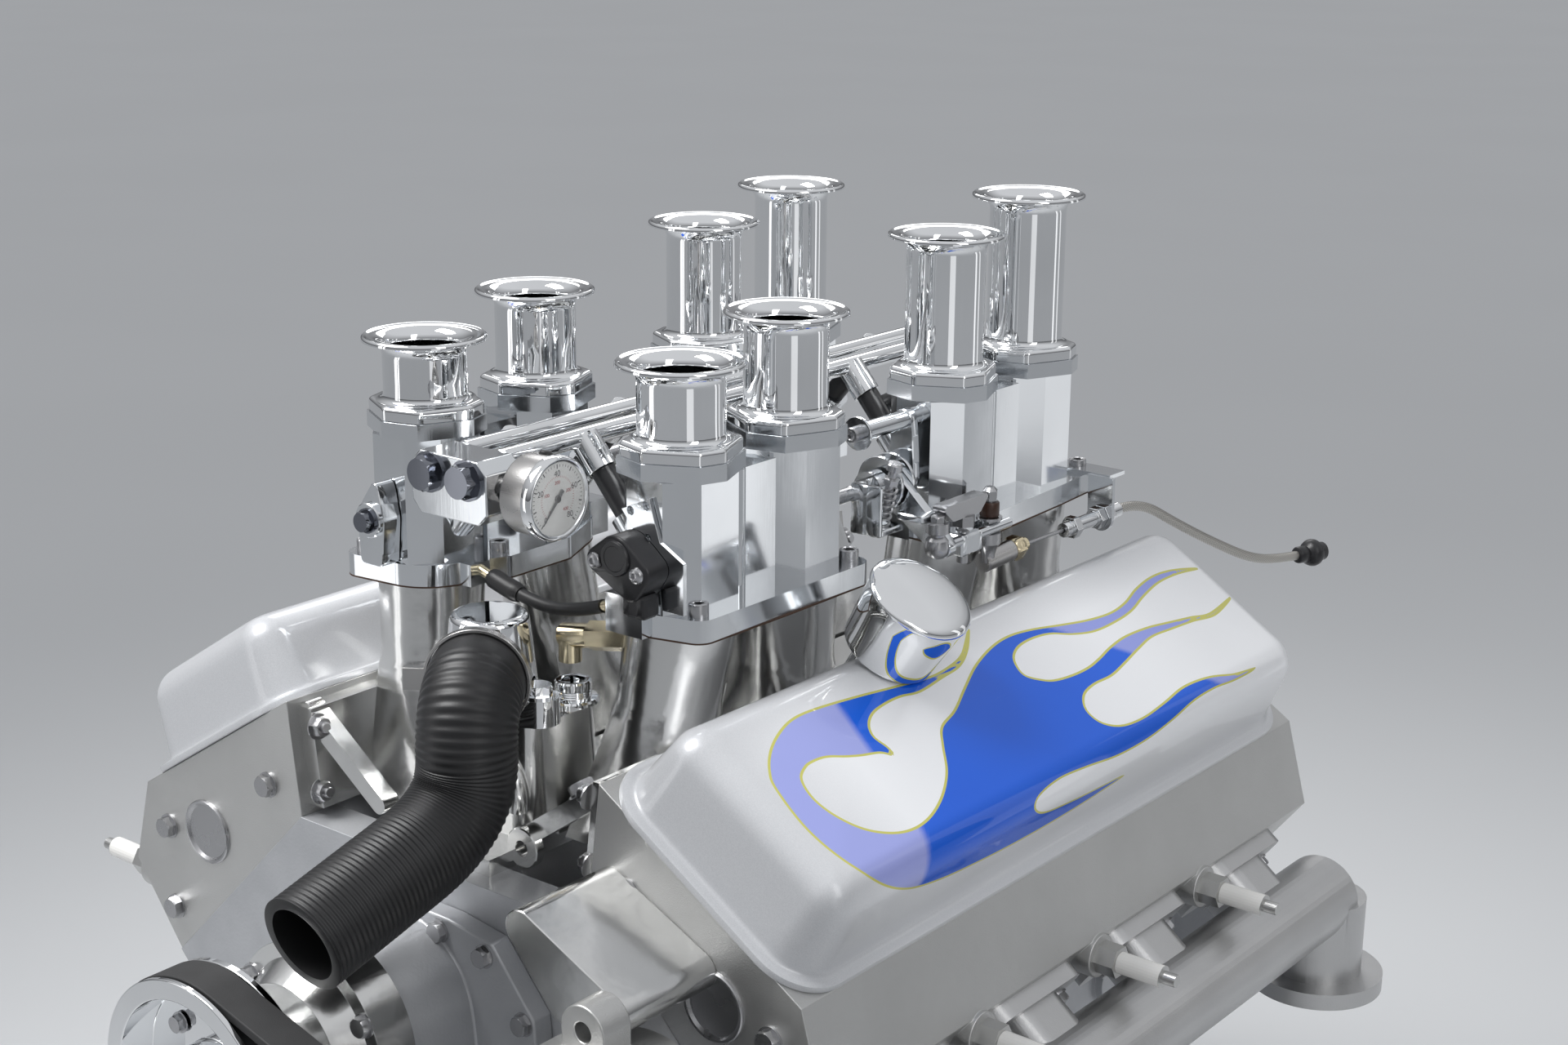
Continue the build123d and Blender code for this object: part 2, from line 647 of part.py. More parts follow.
    # Bell-mouthed stacks, front to rear, taller towards the rear
    for number, height in enumerate(stack_heights[side], 1):
        y = stack_row(mid)[4 - number]
        turn = s if number % 2 else -s
        top_z = tube_foot + height
        with BuildPart() as stack:
            with BuildSketch(Plane.XY.offset(flange_height + body_flange)):
                with BuildLine():
                    Polyline(*flange_outline(s * row_x, y, turn, 0.97), close=True)
                make_face()
            extrude(amount=stack_flange)
            fillet(stack.edges().group_by(Axis.Z)[-1], 2.5)
            with BuildSketch(Plane(origin=(s * row_x, y, 0), x_dir=(1, 0, 0), z_dir=(0, -1, 0))):
                with BuildLine():
                    Line((bore_radius - 3, tube_foot - 2), (tube_radius + 4, tube_foot - 2))
                    Line((tube_radius + 4, tube_foot - 2), (tube_radius + 4, tube_foot))
                    TangentArc((tube_radius + 4, tube_foot), (tube_radius, tube_foot + 4), tangent=(-1, 0))
                    Line((tube_radius, tube_foot + 4), (tube_radius, top_z - 10))
                    TangentArc((tube_radius, top_z - 10), (rim_radius, top_z - 2.4), tangent=(0, 1))
                    Line((rim_radius, top_z - 2.4), (rim_radius - 1, top_z))
                    Line((rim_radius - 1, top_z), (rim_radius - 5, top_z))
                    TangentArc((rim_radius - 5, top_z), (bore_radius, top_z - 9), tangent=(-1, 0))
                    Line((bore_radius, top_z - 9), (bore_radius, tube_foot))
                    Line((bore_radius, tube_foot), (bore_radius - 3, tube_foot - 2))
                make_face()
            revolve(axis=Axis((s * row_x, y, 0), (0, 0, 1)))
            with BuildSketch(Plane.XY.offset(flange_height)):
                with Locations((s * row_x, y)):
                    Circle(bore_radius)
            extrude(amount=tube_foot - flange_height, mode=Mode.SUBTRACT)
        write(stack, f"stack_{side}_{number}")

# Valley cover between the two runner castings, with the water outlet's pad
outlet_x = -2.0
housing_setback = 53.0    # water outlet behind the block's front face
housing_rise = 67.5       # deck's inner corner to the underside of the thermostat housing
housing_base = 14.0
hat_height = 38.0
neck_rise = 27.0
neck_turn = 34.0          # outlet's direction, left of straight ahead
neck_reach = 30.0         # outlet's axis to the hose's end
hose_radius = 25.0
hose_bore = 19.3
hose_bends = (27.0, 40.0)
hose_runs = (31.0, 59.0, (-107.0, -30.0))   # ahead, down, then forward in Y and Z
valley_z = deck_inner[1]
housing_y = housing_setback - block_length
housing_z = valley_z + housing_rise
outlet = Plane(origin=(outlet_x, housing_y, housing_z + neck_rise), x_dir=(0, 0, 1),
               z_dir=(math.sin(math.radians(neck_turn)), -math.cos(math.radians(neck_turn)), 0))
with BuildPart() as valley_cover:
    with BuildSketch(Plane.XY.offset(valley_z)):
        with Locations((0, -block_length / 2)):
            Rectangle(74, block_length - 20)
    extrude(amount=9)
    with BuildSketch(Plane.XY.offset(valley_z + 9)):
        with Locations((0, housing_y + 16)):
            RectangleRounded(74, 60, 14)
    extrude(amount=housing_z - valley_z - 9, taper=3)
write(valley_cover, "valley_cover")

# Thermostat housing and the hose that leaves it
with BuildPart() as thermostat_housing:
    with BuildSketch(Plane.XY.offset(housing_z)):
        with Locations((outlet_x, housing_y)):
            Circle(24)
        with Locations((outlet_x - 32, housing_y + 2), (outlet_x + 32, housing_y + 2)):
            Circle(10.5)
        make_hull()
    extrude(amount=housing_base)
    with BuildSketch(Plane.XY.offset(housing_z + housing_base)):
        with Locations((outlet_x, housing_y)):
            Circle(24)
    extrude(amount=hat_height, taper=6)
    fillet(thermostat_housing.edges().group_by(Axis.Z)[-1], 4)
    with BuildSketch(outlet):
        Circle(hose_bore - seat_gap)
    extrude(amount=neck_reach + 7)
write(thermostat_housing, "thermostat_housing")

hose_start = outlet.offset(neck_reach)
first_bend = outlet.offset(neck_reach + hose_runs[0]).origin
second_bend = first_bend - Vector(0, 0, hose_runs[1])
route = [hose_start.origin, first_bend, second_bend, second_bend + Vector(0, *hose_runs[2])]
with BuildPart() as coolant_hose:
    with BuildLine() as hose_line:
        FilletPolyline(*route, radius=list(hose_bends))
    with BuildSketch(hose_start):
        Circle(hose_radius)
        Circle(hose_bore, mode=Mode.SUBTRACT)
    sweep(path=hose_line.wire())
write(coolant_hose, "coolant_hose")

with BuildPart() as hose_clamp:
    with BuildSketch(hose_start.offset(seat_gap)):
        Circle(hose_radius + 2)
        with Locations((0, hose_radius + 4)):
            Rectangle(12, 16)
        Circle(hose_radius + seat_gap, mode=Mode.SUBTRACT)
    extrude(amount=5)
write(hose_clamp, "hose_clamp")

# Fuel rails with a cup for each injector, on their front block
injector_top = 20.0       # along the injector from the rail's centreline
rail_front = stack_row(left_mid - bank_lead)[-1] - rail_overhang + bank_lead / 2
rail_rear = stack_row(left_mid)[0] + rail_overhang - bank_lead / 2
with BuildPart() as fuel_rails:
    for x in (rail_x, -rail_x):
        with BuildSketch(Plane.XZ.offset(-rail_rear)):
            with Locations((x, rail_z)):
                Circle(rail_tube_radius)
        extrude(amount=rail_rear - rail_front)
    for side, s, mid in sides:
        for y in stack_row(mid):
            with BuildSketch(injector_plane(s, y)):
                Circle(8)
            extrude(amount=injector_top)
write(fuel_rails, "fuel_rails")

with BuildPart() as injectors:
    for side, s, mid in sides:
        for y in stack_row(mid):
            with BuildSketch(injector_plane(s, y).offset(injector_top)):
                Circle(6.5)
            extrude(amount=face_along - boss_length - injector_top)
write(injectors, "injectors")

block_depth = 24.0
with BuildPart() as rail_block:
    with BuildSketch(Plane.XZ.offset(-rail_front)) as block_face:
        with Locations((0, rail_z - 12)):
            Rectangle(2 * rail_x + 26, 32)
        chamfer(block_face.vertices(), 6)
    extrude(amount=block_depth)
write(rail_block, "rail_block")

with BuildPart() as rail_plugs:
    for x in (rail_x, -rail_x):
        with BuildSketch(Plane.XZ.offset(-rail_front + block_depth)):
            with Locations((x, rail_z - 6)):
                RegularPolygon(9, 6)
        extrude(amount=9)
write(rail_plugs, "rail_plugs")

# Pressure gauge on the block's left side: stem, case and bezel
gauge_x = rail_x + 13
gauge_y = rail_front - 8
gauge_z = rail_z - 10.5
with BuildPart() as pressure_gauge:
    for start, length, radius in ((0, 14, 5), (12, 18, 20), (28, 5, 20.5)):
        with BuildSketch(Plane.YZ.offset(gauge_x + start)):
            with Locations((gauge_y, gauge_z)):
                Circle(radius)
        extrude(amount=length)
    with BuildSketch(Plane.YZ.offset(gauge_x + 32)):
        with Locations((gauge_y, gauge_z)):
            Circle(18)
    extrude(amount=1, mode=Mode.SUBTRACT)
write(pressure_gauge, "pressure_gauge")

# Breather cap: a stem in the cover's hole and a drum that widens to a domed top
cap_height = 42.0
stem_radius = 15.0 - running_gap
with BuildPart() as breather_cap:
    with BuildSketch(cap_plane):
        Circle(stem_radius)
    extrude(amount=cover_height + 2)
    with BuildSketch(cap_plane.offset(cover_height + seat_gap)):
        Circle(breather_radius)
    with BuildSketch(cap_plane.offset(cover_height + seat_gap + cap_height)):
        Circle(breather_radius + 3)
    loft()
    rim = breather_cap.faces().sort_by(Axis(cap_plane.origin, cap_plane.z_dir))[-1]
    fillet(rim.edges(), 7)
write(breather_cap, "breather_cap")

# Engine mounts: a foot on the block, a gusset and a tube for the through bolt
mount_x = rail_half_width + mount_reach
for side, s, mid in sides:
    with BuildPart() as mount:
        with BuildSketch(Plane.YZ.offset(s * (rail_half_width + 10))):
            with Locations((mount_y, 20)):
                RectangleRounded(84, 28, 5)
        extrude(amount=s * 10)
        with BuildSketch(Plane.XZ.offset(-mount_y - 32)):
            with BuildLine():
                Polyline((s * (rail_half_width + 18), 32), (s * (mount_x + 10), 14 - mount_drop),
                         (s * (mount_x - 12), -8 - mount_drop), (s * (rail_half_width + 18), -4), close=True)
            make_face()
        extrude(amount=64)
        with BuildSketch(Plane.XZ.offset(-mount_y - mount_length / 2)):
            with Locations((s * mount_x, -mount_drop)):
                Circle(18)
        extrude(amount=mount_length)
        with BuildSketch(Plane.XZ.offset(-mount_y - mount_length / 2)):
            with Locations((s * mount_x, -mount_drop)):
                Circle(mount_bolt_radius)
        extrude(amount=mount_length, mode=Mode.SUBTRACT)
    write(mount, f"engine_mount_{side}")

# Oil filter on the block's left front
with BuildPart() as oil_filter:
    for start, length, radius in ((0, 10, 26), (10, 92, 40)):
        with BuildSketch(Plane.YZ.offset(rail_half_width + start)):
            with Locations((filter_setback - block_length, filter_height)):
                Circle(radius)
        extrude(amount=length)
    fillet(oil_filter.edges().group_by(Axis.X)[-1], 6)
write(oil_filter, "oil_filter")

# Throttle sensor on the left shaft's front end, with the strip that braces it
sensor_face = left_mid - bore_spacing - stack_in_pair - tower_size[1] / 2 - seat_gap
strip_thickness = 2.5
neck_depth = strip_thickness + seat_gap
with BuildPart() as throttle_sensor:
    with BuildSketch(Plane.XZ.offset(-sensor_face)):
        with Locations((row_x, shaft_height)):
            Circle(6.5)
    extrude(amount=neck_depth)
    with BuildSketch(Plane.XZ.offset(-sensor_face + neck_depth)):
        with Locations((row_x, shaft_height)):
            Circle(15)
        with Locations((row_x - 18, shaft_height + 4), (row_x + 14, shaft_height + 2)):
            Circle(6.5)
        make_hull()
    extrude(amount=16)
    with BuildSketch(Plane.XZ.offset(-sensor_face + neck_depth)):
        with Locations((row_x + 14, shaft_height)):
            Rectangle(22, 17)
    extrude(amount=14)
    with BuildSketch(Plane.XZ.offset(-sensor_face + neck_depth + 16)):
        with Locations((row_x, shaft_height)):
            Circle(12.5)
    extrude(amount=6)
    fillet(throttle_sensor.edges().group_by(Axis.Y)[0], 2)
    with BuildSketch(Plane.XZ.offset(-sensor_face)):
        with Locations((row_x, shaft_height)):
            Circle(shaft_radius + running_gap)
    extrude(amount=14, mode=Mode.SUBTRACT)
write(throttle_sensor, "throttle_sensor")

strip_corners = ((-12.6, 26), (5.4, 34), (12.4, 13), (27.4, 5), (27.4, -21), (13.4, -21), (11.4, -2))
strip_holes = ((-6.6, 26), (3.4, 30), (4.4, 14))
with BuildPart() as sensor_bracket:
    with BuildSketch(Plane.XZ.offset(-sensor_face)):
        with BuildLine():
            Polyline(*[(row_x + x, shaft_height + z) for x, z in strip_corners], close=True)
        make_face()
        with Locations(*[(row_x + x, shaft_height + z) for x, z in strip_holes]):
            Circle(2.2, mode=Mode.SUBTRACT)
    extrude(amount=strip_thickness)
write(sensor_bracket, "sensor_bracket")

# Throttle linkage between the left bodies: levers, a stop tube, a cross rod and its clevis
lever_y = left_mid + 23
rod_x = row_x + 39.4
rod_z = shaft_height - 30
rear_face = left_mid + bore_spacing - stack_in_pair - tower_size[1] / 2
clevis_start = (row_x + 31.4, lever_y + 70, seam_height - 14.5)
clevis_end = (row_x + 35.4, lever_y + 108, seam_height - 13)
adjuster_start = (row_x + 36.2, lever_y + 124, seam_height - 13)
adjuster_aim = (4.2, 52, 2)
with BuildPart() as throttle_linkage:
    for start, far in ((lever_y, (rod_x, rod_z)), (lever_y - 26, (row_x + 1.4, shaft_height + 33))):
        with BuildSketch(Plane.XZ.offset(-start)):
            with Locations((row_x, shaft_height)):
                Circle(10)
            with Locations(far):
                Circle(6)
            make_hull()
        extrude(amount=6)
    with BuildSketch(Plane.XZ.offset(-rear_face)):
        with Locations((row_x + 1.4, shaft_height + 33)):
            Circle(3.2)
    extrude(amount=rear_face - lever_y + 26)
    with BuildSketch(Plane.XZ.offset(-lever_y - 10)):
        with Locations((row_x, shaft_height)):
            Circle(shaft_radius + running_gap)
    extrude(amount=60, mode=Mode.SUBTRACT)
    with BuildSketch(Plane.XZ.offset(-lever_y - 74)):
        with Locations((rod_x, rod_z)):
            Circle(3)
    extrude(amount=84)
    for a, b, radius in (((rod_x, lever_y + 70, rod_z), clevis_start, 3.5), (clevis_start, clevis_end, 5),
                         (clevis_end, adjuster_start, 1.5)):
        run = Vector(*b) - Vector(*a)
        with BuildSketch(Plane(origin=a, z_dir=run)):
            Circle(radius)
        extrude(amount=run.length)
write(throttle_linkage, "throttle_linkage")

# Bracket on the rear body's screw, with the cable's adjuster through it
adjuster = Plane(origin=adjuster_start, x_dir=(-1, 0, 0), z_dir=adjuster_aim)
bracket_start = 36.0      # along the adjuster
bracket_y = left_mid + bore_spacing + base_screws["rear"][1][1]
with BuildPart() as cable_bracket:
    with BuildSketch(Plane.XY.offset(seam_height + body_base)):
        with Locations((row_x + 25, bracket_y)):
            Rectangle(40, 17)
        with Locations((row_x + base_screws["rear"][1][0], bracket_y)):
            Circle(3.2, mode=Mode.SUBTRACT)
    extrude(amount=strip_thickness)
    with BuildSketch(adjuster.offset(bracket_start)):
        with Locations((0, 0)):
            Circle(9)
        with Locations((0, 23)):
            Rectangle(18, 4)
        make_hull()
        Circle(5, mode=Mode.SUBTRACT)
    extrude(amount=strip_thickness)
write(cable_bracket, "cable_bracket")

adjuster_length = 54.0
with BuildPart() as cable_adjuster:
    nuts = (6.0, bracket_start - 6, bracket_start + strip_thickness + seat_gap)
    for start, length, radius, count in ((0, adjuster_length, 4.5, 24), *[(nut, 5.7, 7, 6) for nut in nuts]):
        with BuildSketch(adjuster.offset(start)):
            RegularPolygon(radius, count)
        extrude(amount=length)
    with BuildSketch(adjuster):
        Circle(1.5 + running_gap)
    extrude(amount=12, mode=Mode.SUBTRACT)
write(cable_adjuster, "cable_adjuster")


def cord_tube(name, route, diameter):
    """A cord's tube along straight runs and the widest arcs that fit them."""
    points = [Vector(*point) for point in route]
    runs = [b - a for a, b in zip(points, points[1:])]
    radii = [0.45 * min(a.length, b.length) / math.tan(math.radians(a.get_angle(b)) / 2)
             for a, b in zip(runs, runs[1:])]
    print(name, "arc radii", [round(radius, 1) for radius in radii])
    with BuildPart() as tube:
        with BuildLine() as line:
            FilletPolyline(*points, radius=radii)
        with BuildSketch(Plane(origin=points[0], z_dir=runs[0])):
            Circle(diameter / 2)
        sweep(path=line.wire())
    print(name, "length", round(line.wire().length, 1))
    write(tube, name)
    return runs


# Throttle cable from the adjuster to the ball ferrule at its far end
cable_start = adjuster.offset(adjuster_length).origin
cable_steps = ((0, 0, 0), (1.78, 22, 0.85), (11.8, 54, -19), (19.3, 90, -38), (28.8, 120, -53),
               (34.8, 144, -58.5), (40.8, 163, -59))
cable_route = [tuple(cable_start + Vector(*step)) for step in cable_steps]
cable_runs = cord_tube("throttle_cable", cable_route, 6)
with BuildPart() as cable_ferrule:
    for start, length, radius in ((0, 9, 5.5), (8, 11, 9), (18, 6, 6)):
        with BuildSketch(Plane(origin=cable_route[-1], z_dir=cable_runs[-1]).offset(start)):
            Circle(radius)
        extrude(amount=length)
write(cable_ferrule, "cable_ferrule")

# Balance hose between the front bodies, on a barb at each end
barb_z = seam_height + body_base / 2
right_boss = (-(row_x - vacuum_boss), left_mid - bank_lead - bore_spacing - stack_in_pair)
left_pad = (row_x - 20, left_mid - bore_spacing - stack_in_pair - tower_size[1] / 2)
balance_route = [(right_boss[0] + 8, right_boss[1], barb_z), (-10, -435, 319.5), (24, -437, 319),
              (left_pad[0] - 8, left_pad[1], barb_z + 3)]
balance_runs = cord_tube("vacuum_hose", balance_route, 7)
with BuildPart() as vacuum_barbs:
    with BuildSketch(Plane(origin=balance_route[0], z_dir=-balance_runs[0])):
        Circle(2.8)
    extrude(amount=12)
    with BuildSketch(Plane(origin=balance_route[-1], z_dir=balance_runs[-1])):
        Circle(2.8)
    extrude(amount=12)
    with BuildSketch(Plane.YZ.offset(right_boss[0] - 10)):
        with Locations((right_boss[1], barb_z)):
            Rectangle(20, 20)
    extrude(amount=10, mode=Mode.SUBTRACT)
    with BuildSketch(Plane.YZ.offset(left_pad[0])):
        with Locations((left_pad[1], barb_z)):
            Rectangle(20, 20)
    extrude(amount=10, mode=Mode.SUBTRACT)
write(vacuum_barbs, "vacuum_barbs")

# Elbow fitting in the front left runner
elbow_start = (row_x - 18.6, left_mid - bore_spacing - stack_in_pair - 16, seam_height - 8)
elbow = Plane(origin=elbow_start, z_dir=(-48, -6, -8))
with BuildPart() as elbow_fitting:
    for start, length, radius, count in ((0, 26, 8, 6), (24, 20, 6.5, 24)):
        with BuildSketch(elbow.offset(start)):
            RegularPolygon(radius, count)
        extrude(amount=length)
    with BuildSketch(Plane.XY.offset(elbow_start[2] - 20)):
        with Locations((elbow_start[0] - 39, elbow_start[1] - 5)):
            Circle(6)
    extrude(amount=16)
    add(castings["left"], mode=Mode.SUBTRACT)
write(elbow_fitting, "elbow_fitting")
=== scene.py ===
# Visual model of a small V8 with eight-stack injection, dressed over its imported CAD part.
# Sizes are written in millimetres and put into the meshes in metres.
# +X is the vehicle's left, -Y its front, +Z up, and the crank runs along Y.
import json
import math
import bmesh
import bpy
import numpy as np
from mathutils import Matrix, Vector


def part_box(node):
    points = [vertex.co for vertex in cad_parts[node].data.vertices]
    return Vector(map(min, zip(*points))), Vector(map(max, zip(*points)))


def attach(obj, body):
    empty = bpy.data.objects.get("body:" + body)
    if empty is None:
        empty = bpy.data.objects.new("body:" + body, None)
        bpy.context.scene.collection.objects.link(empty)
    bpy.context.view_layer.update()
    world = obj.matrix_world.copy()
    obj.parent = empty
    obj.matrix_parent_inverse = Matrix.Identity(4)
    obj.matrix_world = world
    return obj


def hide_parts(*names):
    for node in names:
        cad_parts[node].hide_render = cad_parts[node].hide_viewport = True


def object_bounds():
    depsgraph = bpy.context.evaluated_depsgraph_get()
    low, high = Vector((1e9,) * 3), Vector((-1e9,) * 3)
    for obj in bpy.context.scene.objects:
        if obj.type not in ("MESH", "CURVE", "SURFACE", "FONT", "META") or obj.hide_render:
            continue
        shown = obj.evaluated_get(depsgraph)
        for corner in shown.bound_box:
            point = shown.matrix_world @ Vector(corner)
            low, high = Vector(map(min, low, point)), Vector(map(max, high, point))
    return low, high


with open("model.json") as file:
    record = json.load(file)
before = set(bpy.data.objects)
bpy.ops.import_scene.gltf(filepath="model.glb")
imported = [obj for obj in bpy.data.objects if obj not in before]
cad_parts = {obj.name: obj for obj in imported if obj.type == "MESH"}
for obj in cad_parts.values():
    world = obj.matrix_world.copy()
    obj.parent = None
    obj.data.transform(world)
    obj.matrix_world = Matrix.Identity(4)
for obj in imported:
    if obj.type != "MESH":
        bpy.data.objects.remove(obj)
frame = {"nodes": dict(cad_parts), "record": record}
cadBox = [list(corner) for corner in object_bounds()]
nodes = frame["nodes"]
record = frame["record"]
nodeBodies = {node: body for body, members in record["behaviour"]["bodies"].items() for node in members}
print("frame loaded:", len(nodes), "nodes")

# Camera
cameraView = {"place": (0.823, -1.2662, 0.7009), "yaw": 38.5, "pitch": 16.2, "roll": 0.51,
              "focalPixels": 2915.0, "imageWidth": 1920.0, "sensor": 36.0}


def makeCamera():
    # forward = level heading turned by yaw and dipped by pitch; right and up turn about it by roll
    yaw, pitch, roll = (math.radians(cameraView[key]) for key in ("yaw", "pitch", "roll"))
    heading = Vector((-math.sin(yaw), math.cos(yaw), 0))
    side = Vector((math.cos(yaw), math.sin(yaw), 0))
    above = Vector((0, 0, 1))
    forward = heading * math.cos(pitch) - above * math.sin(pitch)
    lifted = heading * math.sin(pitch) + above * math.cos(pitch)
    right = side * math.cos(roll) + lifted * math.sin(roll)
    up = lifted * math.cos(roll) - side * math.sin(roll)
    data = bpy.data.cameras.new("camera")
    data.sensor_width = cameraView["sensor"]
    data.sensor_fit = "HORIZONTAL"
    data.lens = cameraView["focalPixels"] / cameraView["imageWidth"] * cameraView["sensor"]
    camera = bpy.data.objects.new("camera", data)
    bpy.context.scene.collection.objects.link(camera)
    camera.matrix_world = Matrix((right, up, -forward)).transposed().to_4x4()
    camera.location = cameraView["place"]
    bpy.context.scene.camera = camera


makeCamera()
print("camera made")


# Mesh helpers
down, ahead, behind, upward, leftward = (0, 0, -1), (0, -1, 0), (0, 1, 0), (0, 0, 1), (1, 0, 0)
facingFront = {"across": leftward, "along": upward, "aim": ahead}


def unit(vector):
    return np.asarray(vector, float) / np.linalg.norm(vector)


def sideways(aim):
    # two directions square to aim: aim x reference, then aim x that
    reference = (0.0, 0.0, 1.0) if abs(aim[2]) < 0.9 else (0.0, 1.0, 0.0)
    side = unit(np.cross(reference, aim))
    return side, np.cross(aim, side)


def makeObject(name, mesh, material, slot=None, body="engine", sharp=35, replaced=None):
    # a piece that replaces a CAD node takes that node's body, and the node is hidden
    mesh.shade_smooth()
    mesh.set_sharp_from_angle(angle=math.radians(sharp))
    mesh.materials.clear()
    mesh.materials.append(look[material])
    piece = bpy.data.objects.new(name, mesh)
    bpy.context.scene.collection.objects.link(piece)
    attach(piece, nodeBodies[replaced] if replaced else body)
    if replaced:
        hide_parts(replaced)
    return piece


def mend(mesh, distance, finish):
    # points closer than the distance become one, then the finishing step runs on what is left
    joined = bmesh.new()
    joined.from_mesh(mesh)
    bmesh.ops.remove_doubles(joined, verts=joined.verts, dist=distance)
    finish(joined)
    joined.to_mesh(mesh)
    joined.free()


def surface(name, grids, material, uv=None, attributes=None, **facts):
    # each grid holds point(row, column); columns close on themselves, and so do rows of a grid paired with True;
    # quad(i, j) = (i, j), (i, j + 1), (i + 1, j + 1), (i + 1, j). Rows of one point close as poles.
    points, quads, start = [], [], 0
    for grid in grids:
        grid, rowsClose = grid if isinstance(grid, tuple) else (grid, False)
        rows, columns = grid.shape[:2]
        i, j = np.meshgrid(np.arange(rows if rowsClose else rows - 1), np.arange(columns), indexing="ij")
        below, beside = (i + 1) % rows, (j + 1) % columns
        quads.append(start + np.stack([i * columns + j, i * columns + beside, below * columns + beside,
                                       below * columns + j], -1).reshape(-1, 4))
        points.append(grid.reshape(-1, 3) * 0.001)
        start += rows * columns
    mesh = bpy.data.meshes.new(name)
    mesh.from_pydata(np.concatenate(points).tolist(), [], np.concatenate(quads).tolist())
    for key, values in (attributes or {}).items():
        layer = mesh.attributes.new(key, "FLOAT", "POINT")
        layer.data.foreach_set("value", np.asarray(values, np.float32).ravel())
    if uv is not None:
        layer = mesh.uv_layers.new(name="run")
        layer.data.foreach_set("uv", np.asarray(uv, np.float32).ravel())
    mend(mesh, 1e-6, lambda joined: bmesh.ops.recalc_face_normals(joined, faces=joined.faces))
    return makeObject(name, mesh, material, **facts)


def turned(profile, origin=(0, 0, 0), aim=(0, 0, 1), columns=64, turn=0.0):
    # point = origin + radius * hex share * (cos a * side + sin a * rise) + height * aim;
    # a profile's row is (radius, height, share), and share 1 makes the circle a hexagon
    profile = np.array([(*row, 0.0)[:3] for row in profile], float)
    aim = unit(aim)
    side, rise = sideways(aim)
    angle = np.linspace(0, 2 * math.pi, columns, endpoint=False)
    hexagon = math.cos(math.pi / 6) / np.cos(angle % (math.pi / 3) - math.pi / 6)
    share = profile[:, 2:3]
    radius = profile[:, 0:1] * (1 - share + share * hexagon)
    out = np.cos(angle + turn)[:, None] * side + np.sin(angle + turn)[:, None] * rise
    return np.asarray(origin, float) + radius[..., None] * out + profile[:, 1][:, None, None] * aim


def swept(path, radius, columns=24, lead=(0, 0, 1), caps=True):
    # point = path + radius * (cos a * side + sin a * rise), with side square to the path and to lead
    path = np.asarray(path, float)
    radius = np.broadcast_to(radius, len(path)).astype(float)
    if caps:
        path = np.concatenate([path[:1], path, path[-1:]])
        radius = np.concatenate([[0.0], radius, [0.0]])
    along = np.gradient(path[1:-1] if caps else path, axis=0)
    if caps:
        along = np.concatenate([along[:1], along, along[-1:]])
    along /= np.linalg.norm(along, axis=1, keepdims=True)
    side = np.cross(along, np.asarray(lead, float))
    side /= np.linalg.norm(side, axis=1, keepdims=True)
    rise = np.cross(side, along)
    angle = np.linspace(0, 2 * math.pi, columns, endpoint=False)
    ring = np.cos(angle)[None, :, None] * side[:, None] + np.sin(angle)[None, :, None] * rise[:, None]
    return path[:, None] + radius[:, None, None] * ring


def outlineReach(corners, rounding, columns):
    # reach(a): distance from the middle to a rounded convex outline, in the direction of angle a;
    # each corner becomes an arc about the point that is one rounding inside both its sides
    corners = np.asarray(corners, float)
    before, after = np.roll(corners, 1, 0), np.roll(corners, -1, 0)
    first = (corners - before) / np.linalg.norm(corners - before, axis=1, keepdims=True)
    second = (after - corners) / np.linalg.norm(after - corners, axis=1, keepdims=True)
    outFirst = np.stack([first[:, 1], -first[:, 0]], 1)
    outSecond = np.stack([second[:, 1], -second[:, 0]], 1)
    bisector = outFirst + outSecond
    centre = corners - rounding * bisector / np.sum(bisector * outFirst, 1)[:, None]
    start = np.arctan2(outFirst[:, 1], outFirst[:, 0])
    sweep = (np.arctan2(outSecond[:, 1], outSecond[:, 0]) - start + math.pi) % (2 * math.pi) - math.pi
    angle = start[:, None] + sweep[:, None] * np.linspace(0, 1, 9)
    dense = (centre[:, None] + rounding * np.stack([np.cos(angle), np.sin(angle)], -1)).reshape(-1, 2)
    dense = np.concatenate([dense, dense[:1]])
    fine = np.concatenate([dense[:-1] + (dense[1:] - dense[:-1]) * part for part in np.linspace(0, 1, 40, False)])
    polar = np.arctan2(fine[:, 1], fine[:, 0])
    order = np.argsort(polar)
    wanted = (np.linspace(0, 2 * math.pi, columns, endpoint=False) + math.pi) % (2 * math.pi) - math.pi
    return np.interp(wanted, polar[order], np.hypot(fine[order, 0], fine[order, 1]), period=2 * math.pi)


def slab(reach, rows, middle=(0, 0), across=leftward, along=behind, aim=upward, origin=(0, 0, 0)):
    # point = origin + (middle + (share * reach(a) - inset) * (cos a, sin a)) on across and along + height * aim,
    # for each row of (share, inset, height); share 0 is the middle point, or a circle of radius -inset
    turn = np.linspace(0, 2 * math.pi, len(reach), endpoint=False)
    toward = np.stack([np.cos(turn), np.sin(turn)], -1)
    share, inset, height = np.array(rows, float).T[..., None]
    flat = np.asarray(middle, float) + (share * reach - inset)[..., None] * toward
    across, along, aim = np.array([across, along, aim], float)
    return np.asarray(origin, float) + flat[..., :1] * across + flat[..., 1:] * along + height[..., None] * aim


def chamfered(thick, edge):
    # rows of a slab from height 0 to thick with both its ends chamfered
    return [(0, 0, 0), (1, edge, 0), (1, 0, edge), (1, 0, thick - edge), (1, edge, thick), (0, 0, thick)]


